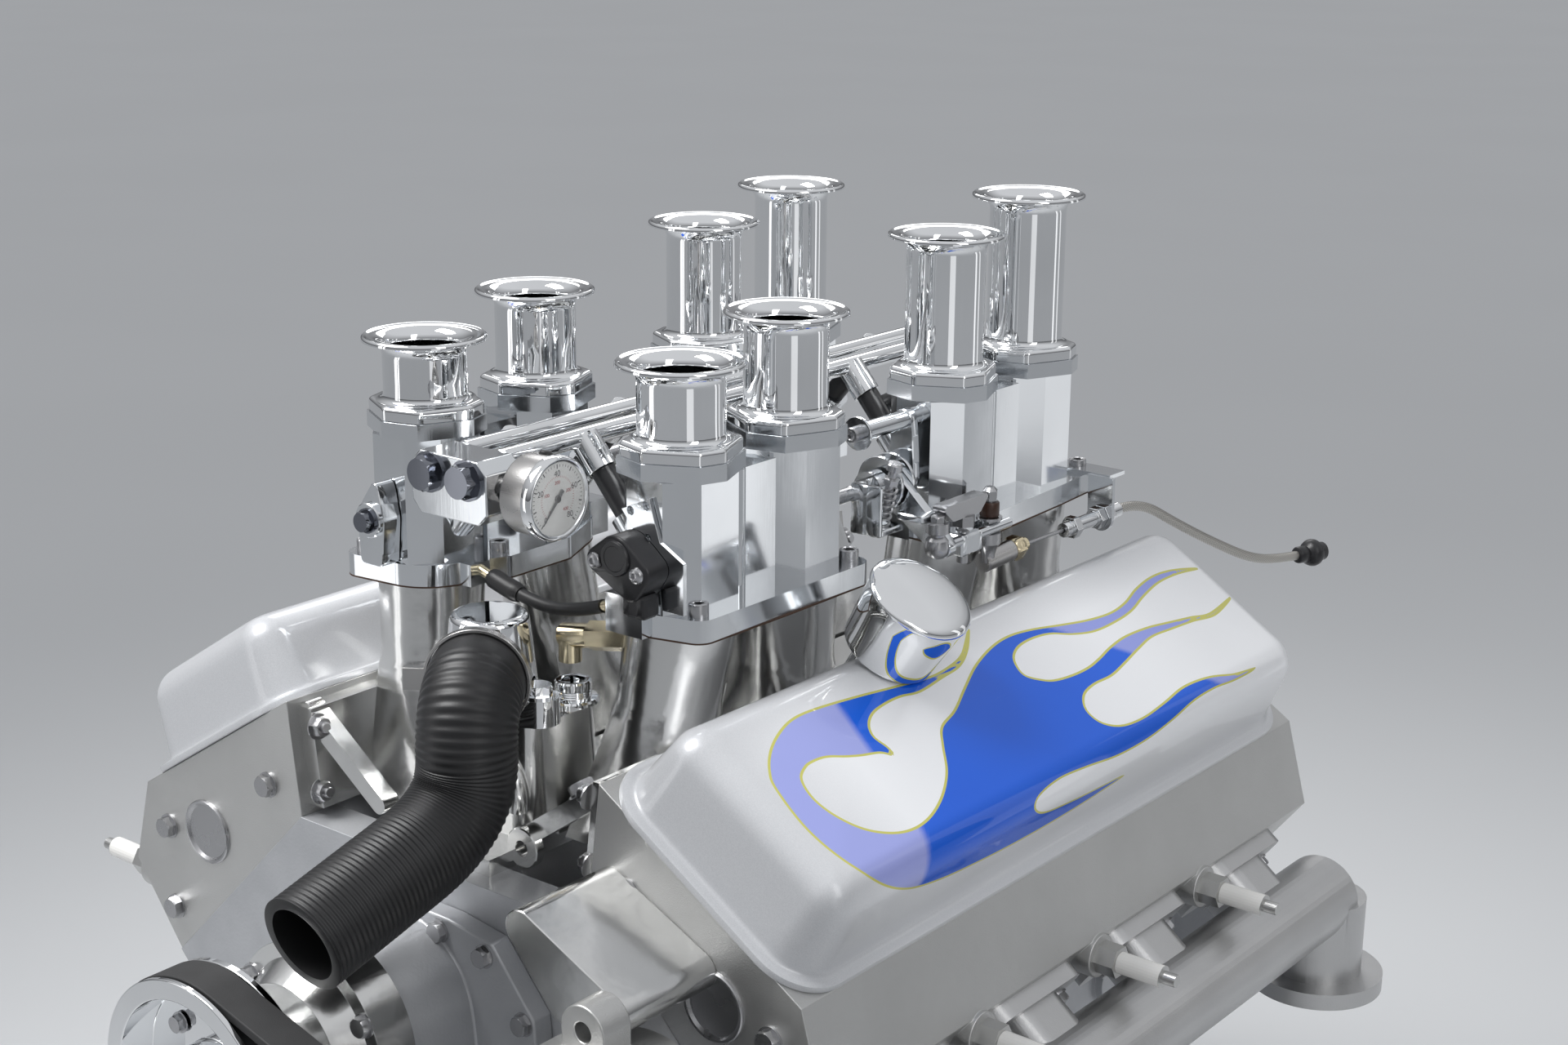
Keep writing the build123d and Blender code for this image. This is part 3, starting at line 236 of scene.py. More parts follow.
def box(low, high, edge):
    # a block with rounded upright edges and chamfered ends
    low, high = np.array(low, float), np.array(high, float)
    x, y, z = (high - low) / 2
    reach = outlineReach([(x, -y), (x, y), (-x, y), (-x, -y)], edge * 1.5, 48)
    return slab(reach, chamfered(2 * z, edge), origin=(*(low + high)[:2] / 2, low[2]))


def hullSlab(circles, rows, columns=96, **place):
    # the convex hull of circles (x, y, r) as a slab: reach(a) is the least of support(b) / cos(b - a) over all b,
    # with support(b) the furthest of the circles in the direction b
    turn = np.linspace(0, 2 * math.pi, columns, endpoint=False)
    circles = np.asarray(circles, float)
    middle = circles[:, :2].mean(0)
    toward = np.stack([np.cos(turn), np.sin(turn)], -1)
    support = ((circles[:, :2] - middle) @ toward.T + circles[:, 2:]).max(0)
    facing = np.cos(turn[None, :] - turn[:, None])
    reach = np.where(facing > 0.03, support[None, :] / np.maximum(facing, 0.03), 1e9).min(1)
    return slab(reach, rows, middle, **place)


def closedLine(points, steps):
    # Catmull-Rom curve through the points: 0.5 * (2b + (c - a)t + (2a - 5b + 4c - d)t^2 + (3b - a - 3c + d)t^3)
    b = np.asarray(points, float)
    a, c, d = np.roll(b, 1, 0), np.roll(b, -1, 0), np.roll(b, -2, 0)
    t = np.linspace(0, 1, steps, endpoint=False)[None, :, None]
    a, b, c, d = (p[:, None] for p in (a, b, c, d))
    curve = 0.5 * (2 * b + (c - a) * t + (2 * a - 5 * b + 4 * c - d) * t ** 2 + (3 * b - a - 3 * c + d) * t ** 3)
    return curve.reshape(-1, 2)


def signedDistance(points, outline):
    # distance to the nearest side of the outline, above 0 inside: sign from the count of sides crossed by a ray
    start, end = outline, np.roll(outline, -1, 0)
    span = end - start
    nearest = np.full(len(points), 1e9)
    inside = np.zeros(len(points), bool)
    for s, e, v in zip(start, end, span):
        share = np.clip(((points - s) @ v) / (v @ v + 1e-12), 0, 1)
        nearest = np.minimum(nearest, np.hypot(*(points - s - share[:, None] * v).T))
        crossed = (s[1] > points[:, 1]) != (e[1] > points[:, 1])
        where = s[0] + (points[:, 1] - s[1]) * v[0] / (v[1] if abs(v[1]) > 1e-9 else 1e-9)
        inside ^= crossed & (points[:, 0] < where)
    return np.where(inside, nearest, -nearest)


def dressed(name, material, width):
    # the CAD node's own shape, merged, its flats joined and its edges rounded
    mesh = nodes[name].data.copy()
    mesh.name = name + "_dressed"
    mend(mesh, 2e-6, lambda joined: bmesh.ops.dissolve_limit(
        joined, angle_limit=math.radians(0.6), verts=joined.verts, edges=joined.edges))
    piece = makeObject(name + "_dressed", mesh, material, sharp=30, replaced=name)
    bevel = piece.modifiers.new("edges", "BEVEL")
    bevel.width, bevel.segments = width * 0.001, 2
    bevel.limit_method, bevel.angle_limit = "ANGLE", math.radians(32)
    piece.modifiers.new("normals", "WEIGHTED_NORMAL").keep_sharp = True


# Material helpers
class Wire:
    # a socket's value; sums, products and comparisons with it add Math nodes
    def __init__(self, tree, socket):
        self.tree, self.socket = tree, socket

    def maths(self, operation, *values):
        return self.tree.step("ShaderNodeMath", {"operation": operation}, dict(enumerate(values)))

    def __add__(self, other): return self.maths("ADD", self, other)
    def __radd__(self, other): return self.maths("ADD", other, self)
    def __sub__(self, other): return self.maths("SUBTRACT", self, other)
    def __rsub__(self, other): return self.maths("SUBTRACT", other, self)
    def __mul__(self, other): return self.maths("MULTIPLY", self, other)
    def __rmul__(self, other): return self.maths("MULTIPLY", other, self)
    def __gt__(self, other): return self.maths("GREATER_THAN", self, other)
    def __lt__(self, other): return self.maths("LESS_THAN", self, other)
    def __abs__(self): return self.maths("ABSOLUTE", self)
    def sine(self): return self.maths("SINE", self)


class Tree:
    # a shader node tree; step makes a node from its type, its settings and its inputs
    def __init__(self, tree):
        self.tree = tree

    def step(self, kind, settings, inputs, output=0):
        node = self.tree.nodes.new(kind)
        for key, value in settings.items():
            if key == "stops":
                for element, (position, colour) in zip(node.color_ramp.elements, value):
                    element.position, element.color = position, (*colour, 1)
            else:
                setattr(node, key, value)
        for key, value in inputs.items():
            self.feed(node.inputs[key], value)
        return Wire(self, node.outputs[output])

    def feed(self, socket, value):
        if isinstance(value, Wire):
            self.tree.links.new(value.socket, socket)
        elif isinstance(value, tuple) and len(value) == 3 and socket.type == "RGBA":
            socket.default_value = (*value, 1)
        else:
            socket.default_value = value

    def axes(self, vector):
        split = self.step("ShaderNodeSeparateXYZ", {}, {"Vector": vector})
        return [Wire(self, socket) for socket in split.socket.node.outputs]


class Recipe(Tree):
    # one material: a Principled shader whose constant sockets are set and whose varying ones are linked
    sockets = {"colour": "Base Color", "metallic": "Metallic", "roughness": "Roughness", "normal": "Normal",
               "coat": "Coat Weight", "coatRoughness": "Coat Roughness", "alpha": "Alpha", "ior": "IOR",
               "specular": "Specular IOR Level"}

    def __init__(self, name, **constants):
        self.material = bpy.data.materials.new(name)
        self.material.use_nodes = True
        super().__init__(self.material.node_tree)
        self.tree.nodes.clear()
        self.shader = self.tree.nodes.new("ShaderNodeBsdfPrincipled")
        output = self.tree.nodes.new("ShaderNodeOutputMaterial")
        self.tree.links.new(self.shader.outputs[0], output.inputs["Surface"])
        self.set(**constants)
        self.place = self.step("ShaderNodeTexCoord", {}, {}, "Object")

    def set(self, **values):
        for key, value in values.items():
            self.feed(self.shader.inputs[self.sockets[key]], value)

    def noise(self, scale, detail=3.0, place=None):
        return self.step("ShaderNodeTexNoise", {}, {"Vector": place or self.place, "Scale": scale,
                                                    "Detail": detail, "Roughness": 0.5}, "Fac")

    def attribute(self, name):
        return self.step("ShaderNodeAttribute", {"attribute_name": name}, {}, "Fac")

    def mix(self, share, first, second):
        return self.step("ShaderNodeMix", {"data_type": "RGBA"}, {"Factor": share, 6: first, 7: second}, 2)

    def bump(self, height, strength, distance, normal=None):
        inputs = {"Height": height, "Strength": strength, "Distance": distance}
        return self.step("ShaderNodeBump", {}, {**inputs, "Normal": normal} if normal else inputs)

    def fade(self, value, low, high):
        # smooth step from 0 at low to 1 at high
        return self.step("ShaderNodeMapRange", {"interpolation_type": "SMOOTHSTEP"},
                         {"Value": value, "From Min": low, "From Max": high})

    def varied(self, noise, colour, second, span=(0.3, 0.7)):
        # the colour fades into a second one where the noise passes the span
        self.set(colour=self.mix(self.fade(noise, *span), colour, second))

    def rough(self, cloud, least, most):
        # roughness = least + (most - least) * cloud
        self.set(roughness=least + (most - least) * cloud)


def dimmed(colour, share):
    return tuple(part * share for part in colour)


# for each metal its colour, least and most roughness, and scale and strength of its waves and of its grain
metalLooks = {
    "billet": ((0.80, 0.82, 0.84), (0.07, 0.14), (40, 0.05), ((900, 900, 60), 0.02)),
    "chrome": ((0.88, 0.89, 0.90), (0.02, 0.05), (18, 0.03), None),
    "casting": ((0.76, 0.76, 0.75), (0.12, 0.26), (55, 0.35), ((420, 420, 420), 0.06)),
    "rawCasting": ((0.62, 0.62, 0.61), (0.34, 0.52), (70, 0.30), ((1300, 1300, 1300), 0.5)),
    "machined": ((0.50, 0.50, 0.51), (0.20, 0.34), (30, 0.05), ((700, 700, 700), 0.1)),
    "brushed": ((0.52, 0.51, 0.50), (0.22, 0.32), (25, 0.01), ((60, 1500, 1500), 0.15)),
    "coated": ((0.58, 0.58, 0.58), (0.28, 0.42), (60, 0.15), ((1100, 1100, 1100), 0.25)),
    "brass": ((0.78, 0.68, 0.47), (0.14, 0.28), (60, 0.15), ((800, 800, 800), 0.1)),
    # this chrome is darkened to stand for the dark surroundings it reflects: a painted reflection
    "darkChrome": ((0.22, 0.23, 0.26), (0.06, 0.12), (40, 0.03), None),
}


def metal(name, colour, roughness, wave, grain):
    # bump = slow waves, then fine grain
    recipe = Recipe(name, metallic=1.0)
    recipe.rough(recipe.noise(22, 4), *roughness)
    recipe.varied(recipe.noise(9, 5), colour, dimmed(colour, 0.9), (0.3, 0.75))
    normal = recipe.bump(recipe.noise(wave[0], 2), wave[1], 0.001)
    if grain:
        stretched = recipe.step("ShaderNodeMapping", {}, {"Vector": recipe.place, "Scale": grain[0]})
        normal = recipe.bump(recipe.noise(1.0, 3, stretched), grain[1], 0.0003, normal)
    recipe.set(normal=normal)
    return recipe.material


# for each plain material its name, colour, least and most roughness, scale and strength of its grain, and coat
softLooks = {
    "rubber": ("mouldedRubber", (0.013, 0.013, 0.014), (0.36, 0.52), 900, 0.15, 0.0),
    "belt": ("beltRubber", (0.030, 0.030, 0.031), (0.55, 0.75), 1500, 0.3, 0.0),
    "plastic": ("blackPlastic", (0.018, 0.018, 0.020), (0.28, 0.42), 1200, 0.12, 0.0),
    "dial": ("dialWhite", (0.86, 0.86, 0.83), (0.45, 0.6), 600, 0.03, 0.0),
    "ink": ("dialInk", (0.02, 0.02, 0.02), (0.5, 0.6), 600, 0.03, 0.0),
    "redInk": ("dialRedInk", (0.45, 0.05, 0.04), (0.5, 0.6), 600, 0.03, 0.0),
    "phenolic": ("brownPhenolic", (0.065, 0.026, 0.014), (0.25, 0.4), 700, 0.1, 0.0),
    "gasket": ("gasketPaper", (0.085, 0.045, 0.028), (0.7, 0.85), 900, 0.3, 0.0),
    "filterPaint": ("filterEnamel", (0.035, 0.036, 0.04), (0.16, 0.28), 500, 0.1, 0.6),
}


def soft(name, colour, roughness, grain, strength, coat):
    # colour and roughness vary a little with one noise, with a fine grain as bump
    recipe = Recipe(name, metallic=0.0, coat=coat)
    cloud = recipe.noise(30, 4)
    recipe.rough(cloud, *roughness)
    recipe.varied(cloud, colour, dimmed(colour, 0.72))
    recipe.set(normal=recipe.bump(recipe.noise(grain, 3), strength, 0.0003))
    return recipe.material


# silver and pearl are the cover's paint in painted shade and in painted light
paintLook = {"shadedSilver": (0.50, 0.51, 0.53), "litPearl": (0.88, 0.89, 0.91), "flake": (1.0, 1.0, 1.0),
             "blue": (0.0, 0.125, 0.78), "deepBlue": (0.01, 0.03, 0.28), "periwinkle": (0.36, 0.40, 0.80),
             "line": (0.60, 0.58, 0.14), "flakeScale": 2600.0, "flameEdge": (-0.15, 0.15), "lineEdge": (0.85, 0.6),
             "block": (0.50, 0.51, 0.53), "blockDark": (0.44, 0.45, 0.47)}


def flakePaint(name):
    # colour = silver where shade is painted to pearl where light is painted, then flames, then a pinstripe along the
    # flames' edge
    recipe = Recipe(name, metallic=0.15, coat=0.7, coatRoughness=0.03, specular=0.15)
    scale = paintLook["flakeScale"]
    flakes = recipe.step("ShaderNodeTexVoronoi", {}, {"Vector": recipe.place, "Scale": scale}, "Color")
    sparkle = recipe.step("ShaderNodeSeparateColor", {}, {"Color": flakes})
    base = recipe.mix(recipe.attribute("tone"), paintLook["shadedSilver"], paintLook["litPearl"])
    base = recipe.mix(0.12 * sparkle, base, paintLook["flake"])
    inside = recipe.attribute("flameDistance")
    blue = recipe.mix(0.25 * recipe.noise(14, 2), paintLook["blue"], paintLook["deepBlue"])
    blue = recipe.mix(recipe.attribute("wash"), blue, paintLook["periwinkle"])
    base = recipe.mix(recipe.fade(inside, *paintLook["flameEdge"]), base, blue)
    base = recipe.mix(recipe.fade(abs(inside), *paintLook["lineEdge"]), base, paintLook["line"])
    recipe.set(colour=base, roughness=0.30 + 0.1 * sparkle)
    recipe.set(normal=recipe.bump(recipe.noise(1800, 1), 0.03, 0.0002))
    return recipe.material


def blockPaint():
    recipe = Recipe("enginePaint", metallic=0.45, coat=0.5, coatRoughness=0.15)
    cloud = recipe.noise(25, 4)
    recipe.varied(cloud, paintLook["block"], paintLook["blockDark"])
    recipe.rough(cloud, 0.35, 0.50)
    recipe.set(normal=recipe.bump(recipe.noise(500, 4), 0.35, 0.0006))
    return recipe.material


braidLook = {"colour": (0.60, 0.58, 0.54), "turns": 14, "pitch": 2.2}


def braidMaterial():
    # height = |sin| of two crossing helices, u round the cord and v along it in millimetres
    recipe = Recipe("steelBraid", metallic=1.0)
    u, v = recipe.axes(recipe.step("ShaderNodeUVMap", {"uv_map": "run"}, {}))[:2]
    around, along = math.pi * braidLook["turns"], math.pi / braidLook["pitch"]
    first = abs((around * u + along * v).sine())
    second = abs((around * u - along * v).sine())
    weave = first.maths("MAXIMUM", first, second)
    # the colour darkens to a quarter in the weave's hollows: painted shade between the wires
    recipe.set(colour=recipe.mix(weave, dimmed(braidLook["colour"], 0.25), braidLook["colour"]))
    recipe.set(roughness=0.42 - 0.14 * weave, normal=recipe.bump(weave, 0.8, 0.0004))
    return recipe.material


plugLook = {"steel": (0.55, 0.55, 0.54), "glaze": (0.86, 0.85, 0.82), "glazeFrom": 0.252, "glazeTo": 0.2776}


def plugMaterial():
    # white glaze from the hexagon's end to the terminal and steel elsewhere, by distance from the engine's middle
    recipe = Recipe("sparkPlug")
    out = abs(recipe.axes(recipe.place)[0])
    glazed = (out > plugLook["glazeFrom"]) * (out < plugLook["glazeTo"])
    recipe.set(colour=recipe.mix(glazed, plugLook["steel"], plugLook["glaze"]), metallic=1 - glazed)
    recipe.set(roughness=0.28 - 0.16 * glazed + 0.08 * recipe.noise(200, 3))
    return recipe.material


def lensMaterial():
    recipe = Recipe("lens", colour=(1.0, 1.0, 1.0), alpha=0.12, ior=1.45)
    recipe.rough(recipe.noise(60, 3), 0.02, 0.05)
    return recipe.material


def floorMaterial(colour):
    recipe = Recipe("paleFloor")
    recipe.varied(recipe.noise(1.5, 2), colour, dimmed(colour, 0.985))
    recipe.rough(recipe.noise(8, 2), 0.85, 0.90)
    return recipe.material


look = {key: metal(key, *facts) for key, facts in metalLooks.items()}
look.update({key: soft(*facts) for key, facts in softLooks.items()})
look.update({"cover": flakePaint("flamedPaint"), "paint": blockPaint(), "braid": braidMaterial(),
             "plug": plugMaterial(), "lens": lensMaterial()})
print("materials made:", len(look))

# Cords
cords = {
    "throttle_cable": {"points": [(119.151, -58.254, 309.084), (120.931, -36.254, 309.934), (130.951, -4.254, 290.084),
                                  (138.451, 31.746, 271.084), (147.951, 61.746, 256.084), (153.951, 85.746, 250.584),
                                  (159.951, 104.746, 250.084)],
                       "diameter": 6.0, "length": 181.7, "material": "braid", "stiffness": "stiff", "lay": "loose",
                       "farEnd": "fitting", "lead": leftward},
    "vacuum_hose": {"points": [(-33.607, -434.1, 326.015), (-10, -435, 319.5), (24, -437, 319),
                               (50.607, -439.3, 329.015)],
                    "diameter": 7.0, "length": 86.7, "material": "rubber", "stiffness": "medium", "lay": "hanging",
                    "farEnd": "object", "lead": behind},
}
ferrule = {"aim": (6, 19, -0.5),
           "profile": [(0, -0.5), (3.4, -0.5), (5.0, 0.2), (5.5, 1.2), (5.5, 7.4), (5.0, 8.2), (6.0, 9.0), (7.8, 10.2),
                       (8.8, 12.4), (9.0, 14.0), (8.6, 16.0), (7.6, 17.8), (6.2, 18.8), (6.0, 20), (6.0, 23.2),
                       (5.2, 24), (0, 24)]}
sleeve = {"points": 13, "at": (0, 1, 10, 12), "radii": (4.4, 5.3, 5.3, 4.2)}


def splinePoints(points, steps=16):
    # points of the NURBS curve of order 3 that has the route's points as control points
    curve = bpy.data.curves.new("route", "CURVE")
    curve.dimensions = "3D"
    spline = curve.splines.new("NURBS")
    spline.points.add(len(points) - 1)
    spline.points.foreach_set("co", np.c_[np.array(points) * 0.001, np.ones(len(points))].ravel())
    spline.order_u, spline.use_endpoint_u, spline.resolution_u = 3, True, steps
    holder = bpy.data.objects.new("route", curve)
    mesh = bpy.data.meshes.new_from_object(holder)
    flat = np.empty(len(mesh.vertices) * 3)
    mesh.vertices.foreach_get("co", flat)
    bpy.data.objects.remove(holder)
    bpy.data.meshes.remove(mesh)
    bpy.data.curves.remove(curve)
    return flat.reshape(-1, 3) * 1000


def runUv(grid, lengths):
    # u = share of the turn, v = millimetres along the path, for each corner of quad(i, j)
    rows, columns = grid.shape[:2]
    i, j = np.meshgrid(np.arange(rows - 1), np.arange(columns), indexing="ij")
    u = np.stack([j, j + 1, j + 1, j], -1) / columns
    v = lengths[np.stack([i, i, i + 1, i + 1], -1)]
    return np.stack([u, v], -1)


def runLengths(path):
    # distance along the path to each of its points
    return np.concatenate([[0], np.cumsum(np.linalg.norm(np.diff(path, axis=0), axis=1))])


def makeCord(name, withPieces):
    facts = cords[name]
    path = splinePoints(facts["points"])
    grid = swept(path, facts["diameter"] / 2, 32, facts["lead"])
    lengths = runLengths(path)
    lengths = np.concatenate([lengths[:1], lengths, lengths[-1:]])
    piece = surface(name + "_run", [grid], facts["material"], runUv(grid, lengths), sharp=50, replaced=name)
    tuple(value * 0.001 for value in facts["points"][0])
    facts["length"] * 0.001
    facts["diameter"] * 0.001


makeCord("throttle_cable", [surface("cable_ferrule_turned", [turned(
    ferrule["profile"], cords["throttle_cable"]["points"][-1], ferrule["aim"], 48)], "plastic",
    replaced="cable_ferrule")])
hoseStart = splinePoints(cords["vacuum_hose"]["points"])[:sleeve["points"]]
sleeveRadii = np.interp(np.arange(sleeve["points"]), sleeve["at"], sleeve["radii"])
makeCord("vacuum_hose", [surface("vacuum_hose_sleeve", [swept(hoseStart, sleeveRadii, 24, behind)], "rubber")])
print("cords made")

# Fasteners
# their heads as rows of (radius, height, hexagon's share), all times the fastener's size
heads = {
    "hex": [(0, 0), (1.15, 0), (1.15, 0.16), (1.0, 0.16, 1), (1.0, 0.72, 1), (0.88, 0.86, 0), (0, 0.86)],
    "socket": [(0, 0), (1.0, 0), (1.0, 1.05), (0.97, 1.2), (0.88, 1.28), (0.60, 1.28), (0.56, 1.22, 1), (0.56, 0.7, 1),
               (0.2, 0.6), (0, 0.6)],
    "button": [(0, 0), (1.0, 0), (1.0, 0.14), (0.86, 0.42), (0.6, 0.58), (0.44, 0.6), (0.42, 0.56, 1), (0.42, 0.3, 1),
               (0, 0.25)],
    "nut": [(0, 0), (1.25, 0), (1.25, 0.14), (1.0, 0.14, 1), (1.0, 0.78, 1), (0.86, 0.9), (0.52, 0.9), (0.5, 1.25),
            (0.44, 1.32), (0, 1.32)],
}


def fasteners(name, head, size, places, aims, columns=24, material="machined", **facts):
    # the head times size, set at each place and pointing along its aim, each turned on from the last
    scaled = [(radius * size, height * size, *share) for radius, height, *share in heads[head]]
    aims = [aims] * len(places) if isinstance(aims[0], (int, float)) else aims
    surface(name, [turned(scaled, place, aim, columns, 0.7 * number)
                   for number, (place, aim) in enumerate(zip(places, aims))], material, sharp=30, **facts)


# Injection stacks
rowX, seamZ, footZ = 78.607, 320.015, 415.015
banks = {
    "left": {"sign": 1, "middle": -259.04, "heights": (39, 52, 74, 87)},
    "right": {"sign": -1, "middle": -281.34, "heights": (34, 47, 67, 80)},
}
boreSpacing, pairHalf = 111.76, 41.0
stackLook = {"flangeShare": 0.97, "flangeRounding": 4.0, "edge": 2.5, "columns": 180, "tube": 22.15, "bore": 20.5,
             "rim": 32.8, "foot": 4.0, "flare": 8.036, "flareDrop": 10, "mouth": 7.46, "mouthBack": 7.3,
             "mouthDrop": 8.2, "under": -7.5, "corners": ((0.9, -31.0), (27.0, -17.4), (32.0, -3.2), (20.2, 25.4)),
             "rimRows": ((0, 1.9), (0.1, 1.1), (0.5, 0.4), (1.2, 0), (2.0, 0.1), (2.7, 0.5), (3.4, 0.75))}


def stackRow(middle):
    return [middle + pair * boreSpacing + q * pairHalf for pair in (1, -1) for q in (1, -1)]


def flangeCorners(turn):
    share = stackLook["flangeShare"]
    half = [(share * a, share * turn * b) for a, b in stackLook["corners"]]
    corners = half + [(-a, -b) for a, b in half]
    area = sum(a[0] * b[1] - b[0] * a[1] for a, b in zip(corners, corners[1:] + corners[:1]))
    return corners if area > 0 else corners[::-1]


def arc(centre, radius, start, end, steps):
    # points on a circle from start to end, in degrees
    angle = np.radians(np.linspace(start, end, steps))
    return [(centre[0] + radius * math.cos(a), centre[1] + radius * math.sin(a)) for a in angle]


def stackGrid(x, y, height, turn):
    # below the tube a rounded octagon reach(a) - inset, above it circles radius(z); both share the columns
    edge, tube, rim, bore, foot, flare, under = (
        stackLook[key] for key in ("edge", "tube", "rim", "bore", "foot", "flare", "under"))
    reach = outlineReach(flangeCorners(turn), stackLook["flangeRounding"], stackLook["columns"])
    flange = [(0.5, under), (0, under + 0.5), (0, -4.2), (0, -edge)]
    flange += [(edge - a, z) for a, z in arc((0, -edge), edge, 15, 90, 6)]
    circles = [(tube + foot, 0)] + arc((tube + foot, foot), foot, 262, 180, 7)
    circles += [(tube, height * share) for share in (0.3, 0.5, 0.7)]
    circles += arc((tube + flare, height - stackLook["flareDrop"]), flare, 180, 71, 14)
    circles += [(rim - back, height - drop) for back, drop in stackLook["rimRows"]]
    circles += arc((bore + stackLook["mouthBack"], height - stackLook["mouthDrop"]), stackLook["mouth"], 86, 191.9, 14)
    circles += [(bore, height * share) for share in (0.7, 0.4, 0.1)] + [(bore, under)]
    rows = [(1, inset, z) for inset, z in flange] + [(0, -radius, z) for radius, z in circles]
    return slab(reach, rows, origin=(x, y, footZ))


for side, bank in banks.items():
    sign = bank["sign"]
    for number, height in enumerate(bank["heights"], 1):
        y = stackRow(bank["middle"])[4 - number]
        name = f"stack_{side}_{number}"
        surface(name + "_bell", [(stackGrid(sign * rowX, y, height, sign if number % 2 else -sign), True)], "chrome",
                sharp=32, replaced=name)
print("stacks made")

# Valve covers
coverLook = {"halfWidth": 73.0, "halfLength": 238.0, "corner": 30.0, "lip": 4.0, "inset": 7.0, "height": 52.0,
             "draft": 9.0, "round": 18.0, "crown": 1.2, "tilt": 32, "middle": (161.915, -3, 226.331),
             "sharpInset": 22, "sharpCorner": 8.0}
# where the painted shade and light and the paint's washes change over the cover's net: start, span, least and most, and
# the slant of both washes
coverShades = {"front": (-238, 90), "outer": (-70, 45, 0.25), "inner": (-118, 50, 0.35), "frontSlant": 0.25,
               "frontWash": (134, 5), "rearSlant": 1.1, "rearWash": (76, 6, 0, 0.85)}
# the flames' edge in millimetres on the net, across and along from the cover's middle
flameOutline = [
    (18, -207), (-7, -204), (-17, -199), (-26, -189), (-33, -175), (-37, -160), (-37, -142), (-34, -113), (-30, -83),
    (-27, -57), (-28, -39), (-31, -25), (-38, -12), (-44, -2), (-33, -17), (-26, -33), (-24, -51), (-22, -73),
    (-24, -87), (-24, -100), (-22, -113), (-17, -122), (-10, -126), (-2, -124), (3, -125),
    (-1, -131), (-4, -143), (-7, -152), (-11, -162), (-12, -171), (-11, -179), (-6, -187), (6, -190), (20, -186),
    (32, -176), (40, -160), (41, -142), (35, -122), (24, -104), (10, -91), (1, -81), (-4, -64), (-13, -44), (-22, -23),
    (-28, -1), (-30, 18), (-28, 38), (-23, 62), (-19, 83), (-17, 105), (-19, 124), (-24, 143), (-27, 164), (-26, 184),
    (-20, 210), (-22, 188), (-22, 166), (-18, 143), (-13, 123), (-11, 104), (-11, 81), (-15, 63), (-21, 48), (-23, 32),
    (-22, 18), (-18, 8), (-12, 3), (-5, 2), (1, 9), (5, 18), (7, 34), (7, 50), (5, 64), (2, 79), (0, 98), (1, 121),
    (4, 142), (7, 162), (10, 180), (6, 212), (12, 183), (9.5, 160), (8, 138), (7, 117), (10, 98), (14, 78), (17, 60),
    (17, 42), (20, 28), (28, 20), (38, 22), (45, 34), (47, 54), (45, 78), (42, 104), (44, 130), (50, 152), (54, 176),
    (54, 150), (52, 128), (53, 104), (58, 78), (62, 50), (62, 20), (58, -10), (56, -36), (60, -56), (68, -60),
    (76, -48), (80, -20), (82, 8), (84, 34), (88, 4), (90, -30), (90, -66), (88, -100), (84, -135), (76, -165),
    (62, -188), (42, -202)]


def coverOutline(inset):
    # rounded rectangle inset from the rail: four corner arcs and four straight sides, with outward directions
    past = inset - coverLook["sharpInset"]
    corner = coverLook["corner"] - inset if past < 0 else coverLook["sharpCorner"] * (1 - past / 51.0) + 0.001
    halfX = max(coverLook["halfWidth"] - inset, corner)
    halfY = coverLook["halfLength"] - inset
    x, y = halfX - corner, halfY - corner
    counts = ((1, 1, 16, 60), (-1, 1, 16, 210), (-1, -1, 16, 60), (1, -1, 16, 210))
    points, outward = [], []
    for quarter, (sx, sy, bend, straight) in enumerate(counts):
        angle = math.radians(90 * quarter) + np.linspace(0, math.pi / 2, bend)
        out = np.stack([np.cos(angle), np.sin(angle)], -1)
        points.append(np.array([sx * x, sy * y]) + corner * out)
        outward.append(out)
        nx, ny = counts[(quarter + 1) % 4][:2]
        share = np.linspace(0, 1, straight + 2)[1:-1, None]
        begin = np.array([sx * x, sy * y]) + corner * out[-1]
        end = np.array([nx * x, ny * y]) + corner * out[-1]
        points.append(begin + (end - begin) * share)
        outward.append(np.repeat(out[-1:], straight, 0))
    return np.concatenate(points), np.concatenate(outward)


def coverProfile():
    # rows of (inset, height): lip, drafted wall, top fillet, then the slightly crowned top
    draft = math.radians(coverLook["draft"])
    rounding, lip, high = coverLook["round"], coverLook["lip"], coverLook["height"]
    centreZ = high - rounding
    centreIn = coverLook["inset"] + (centreZ - lip) * math.tan(draft) + rounding / math.cos(draft)
    rows = [(3, 0), (0.4, 0), (0, 0.4), (0, lip - 1.2), (0.35, lip - 0.35), (1.2, lip), (4.0, lip)]
    rows += [(x, z) for x, z in ((5.6, lip + 0.25), (6.7, lip + 1.0), (7.3, lip + 2.2))]
    wall = np.linspace(lip + 4, centreZ, 13)
    rows += [(coverLook["inset"] + (z - lip) * math.tan(draft), z) for z in wall]
    rows += [(centreIn - rounding * math.cos(a), centreZ + rounding * math.sin(a))
             for a in np.linspace(draft, math.pi / 2, 16)[1:]]
    top = np.linspace(centreIn, coverLook["halfWidth"], 24)[1:]
    rise = np.sin((top - centreIn) / (top[-1] - centreIn) * math.pi / 2)
    rows += list(zip(top, high + coverLook["crown"] * rise))
    return rows


def ramp(value, start, span, least=0, most=1):
    return np.clip((value - start) / span, least, most)


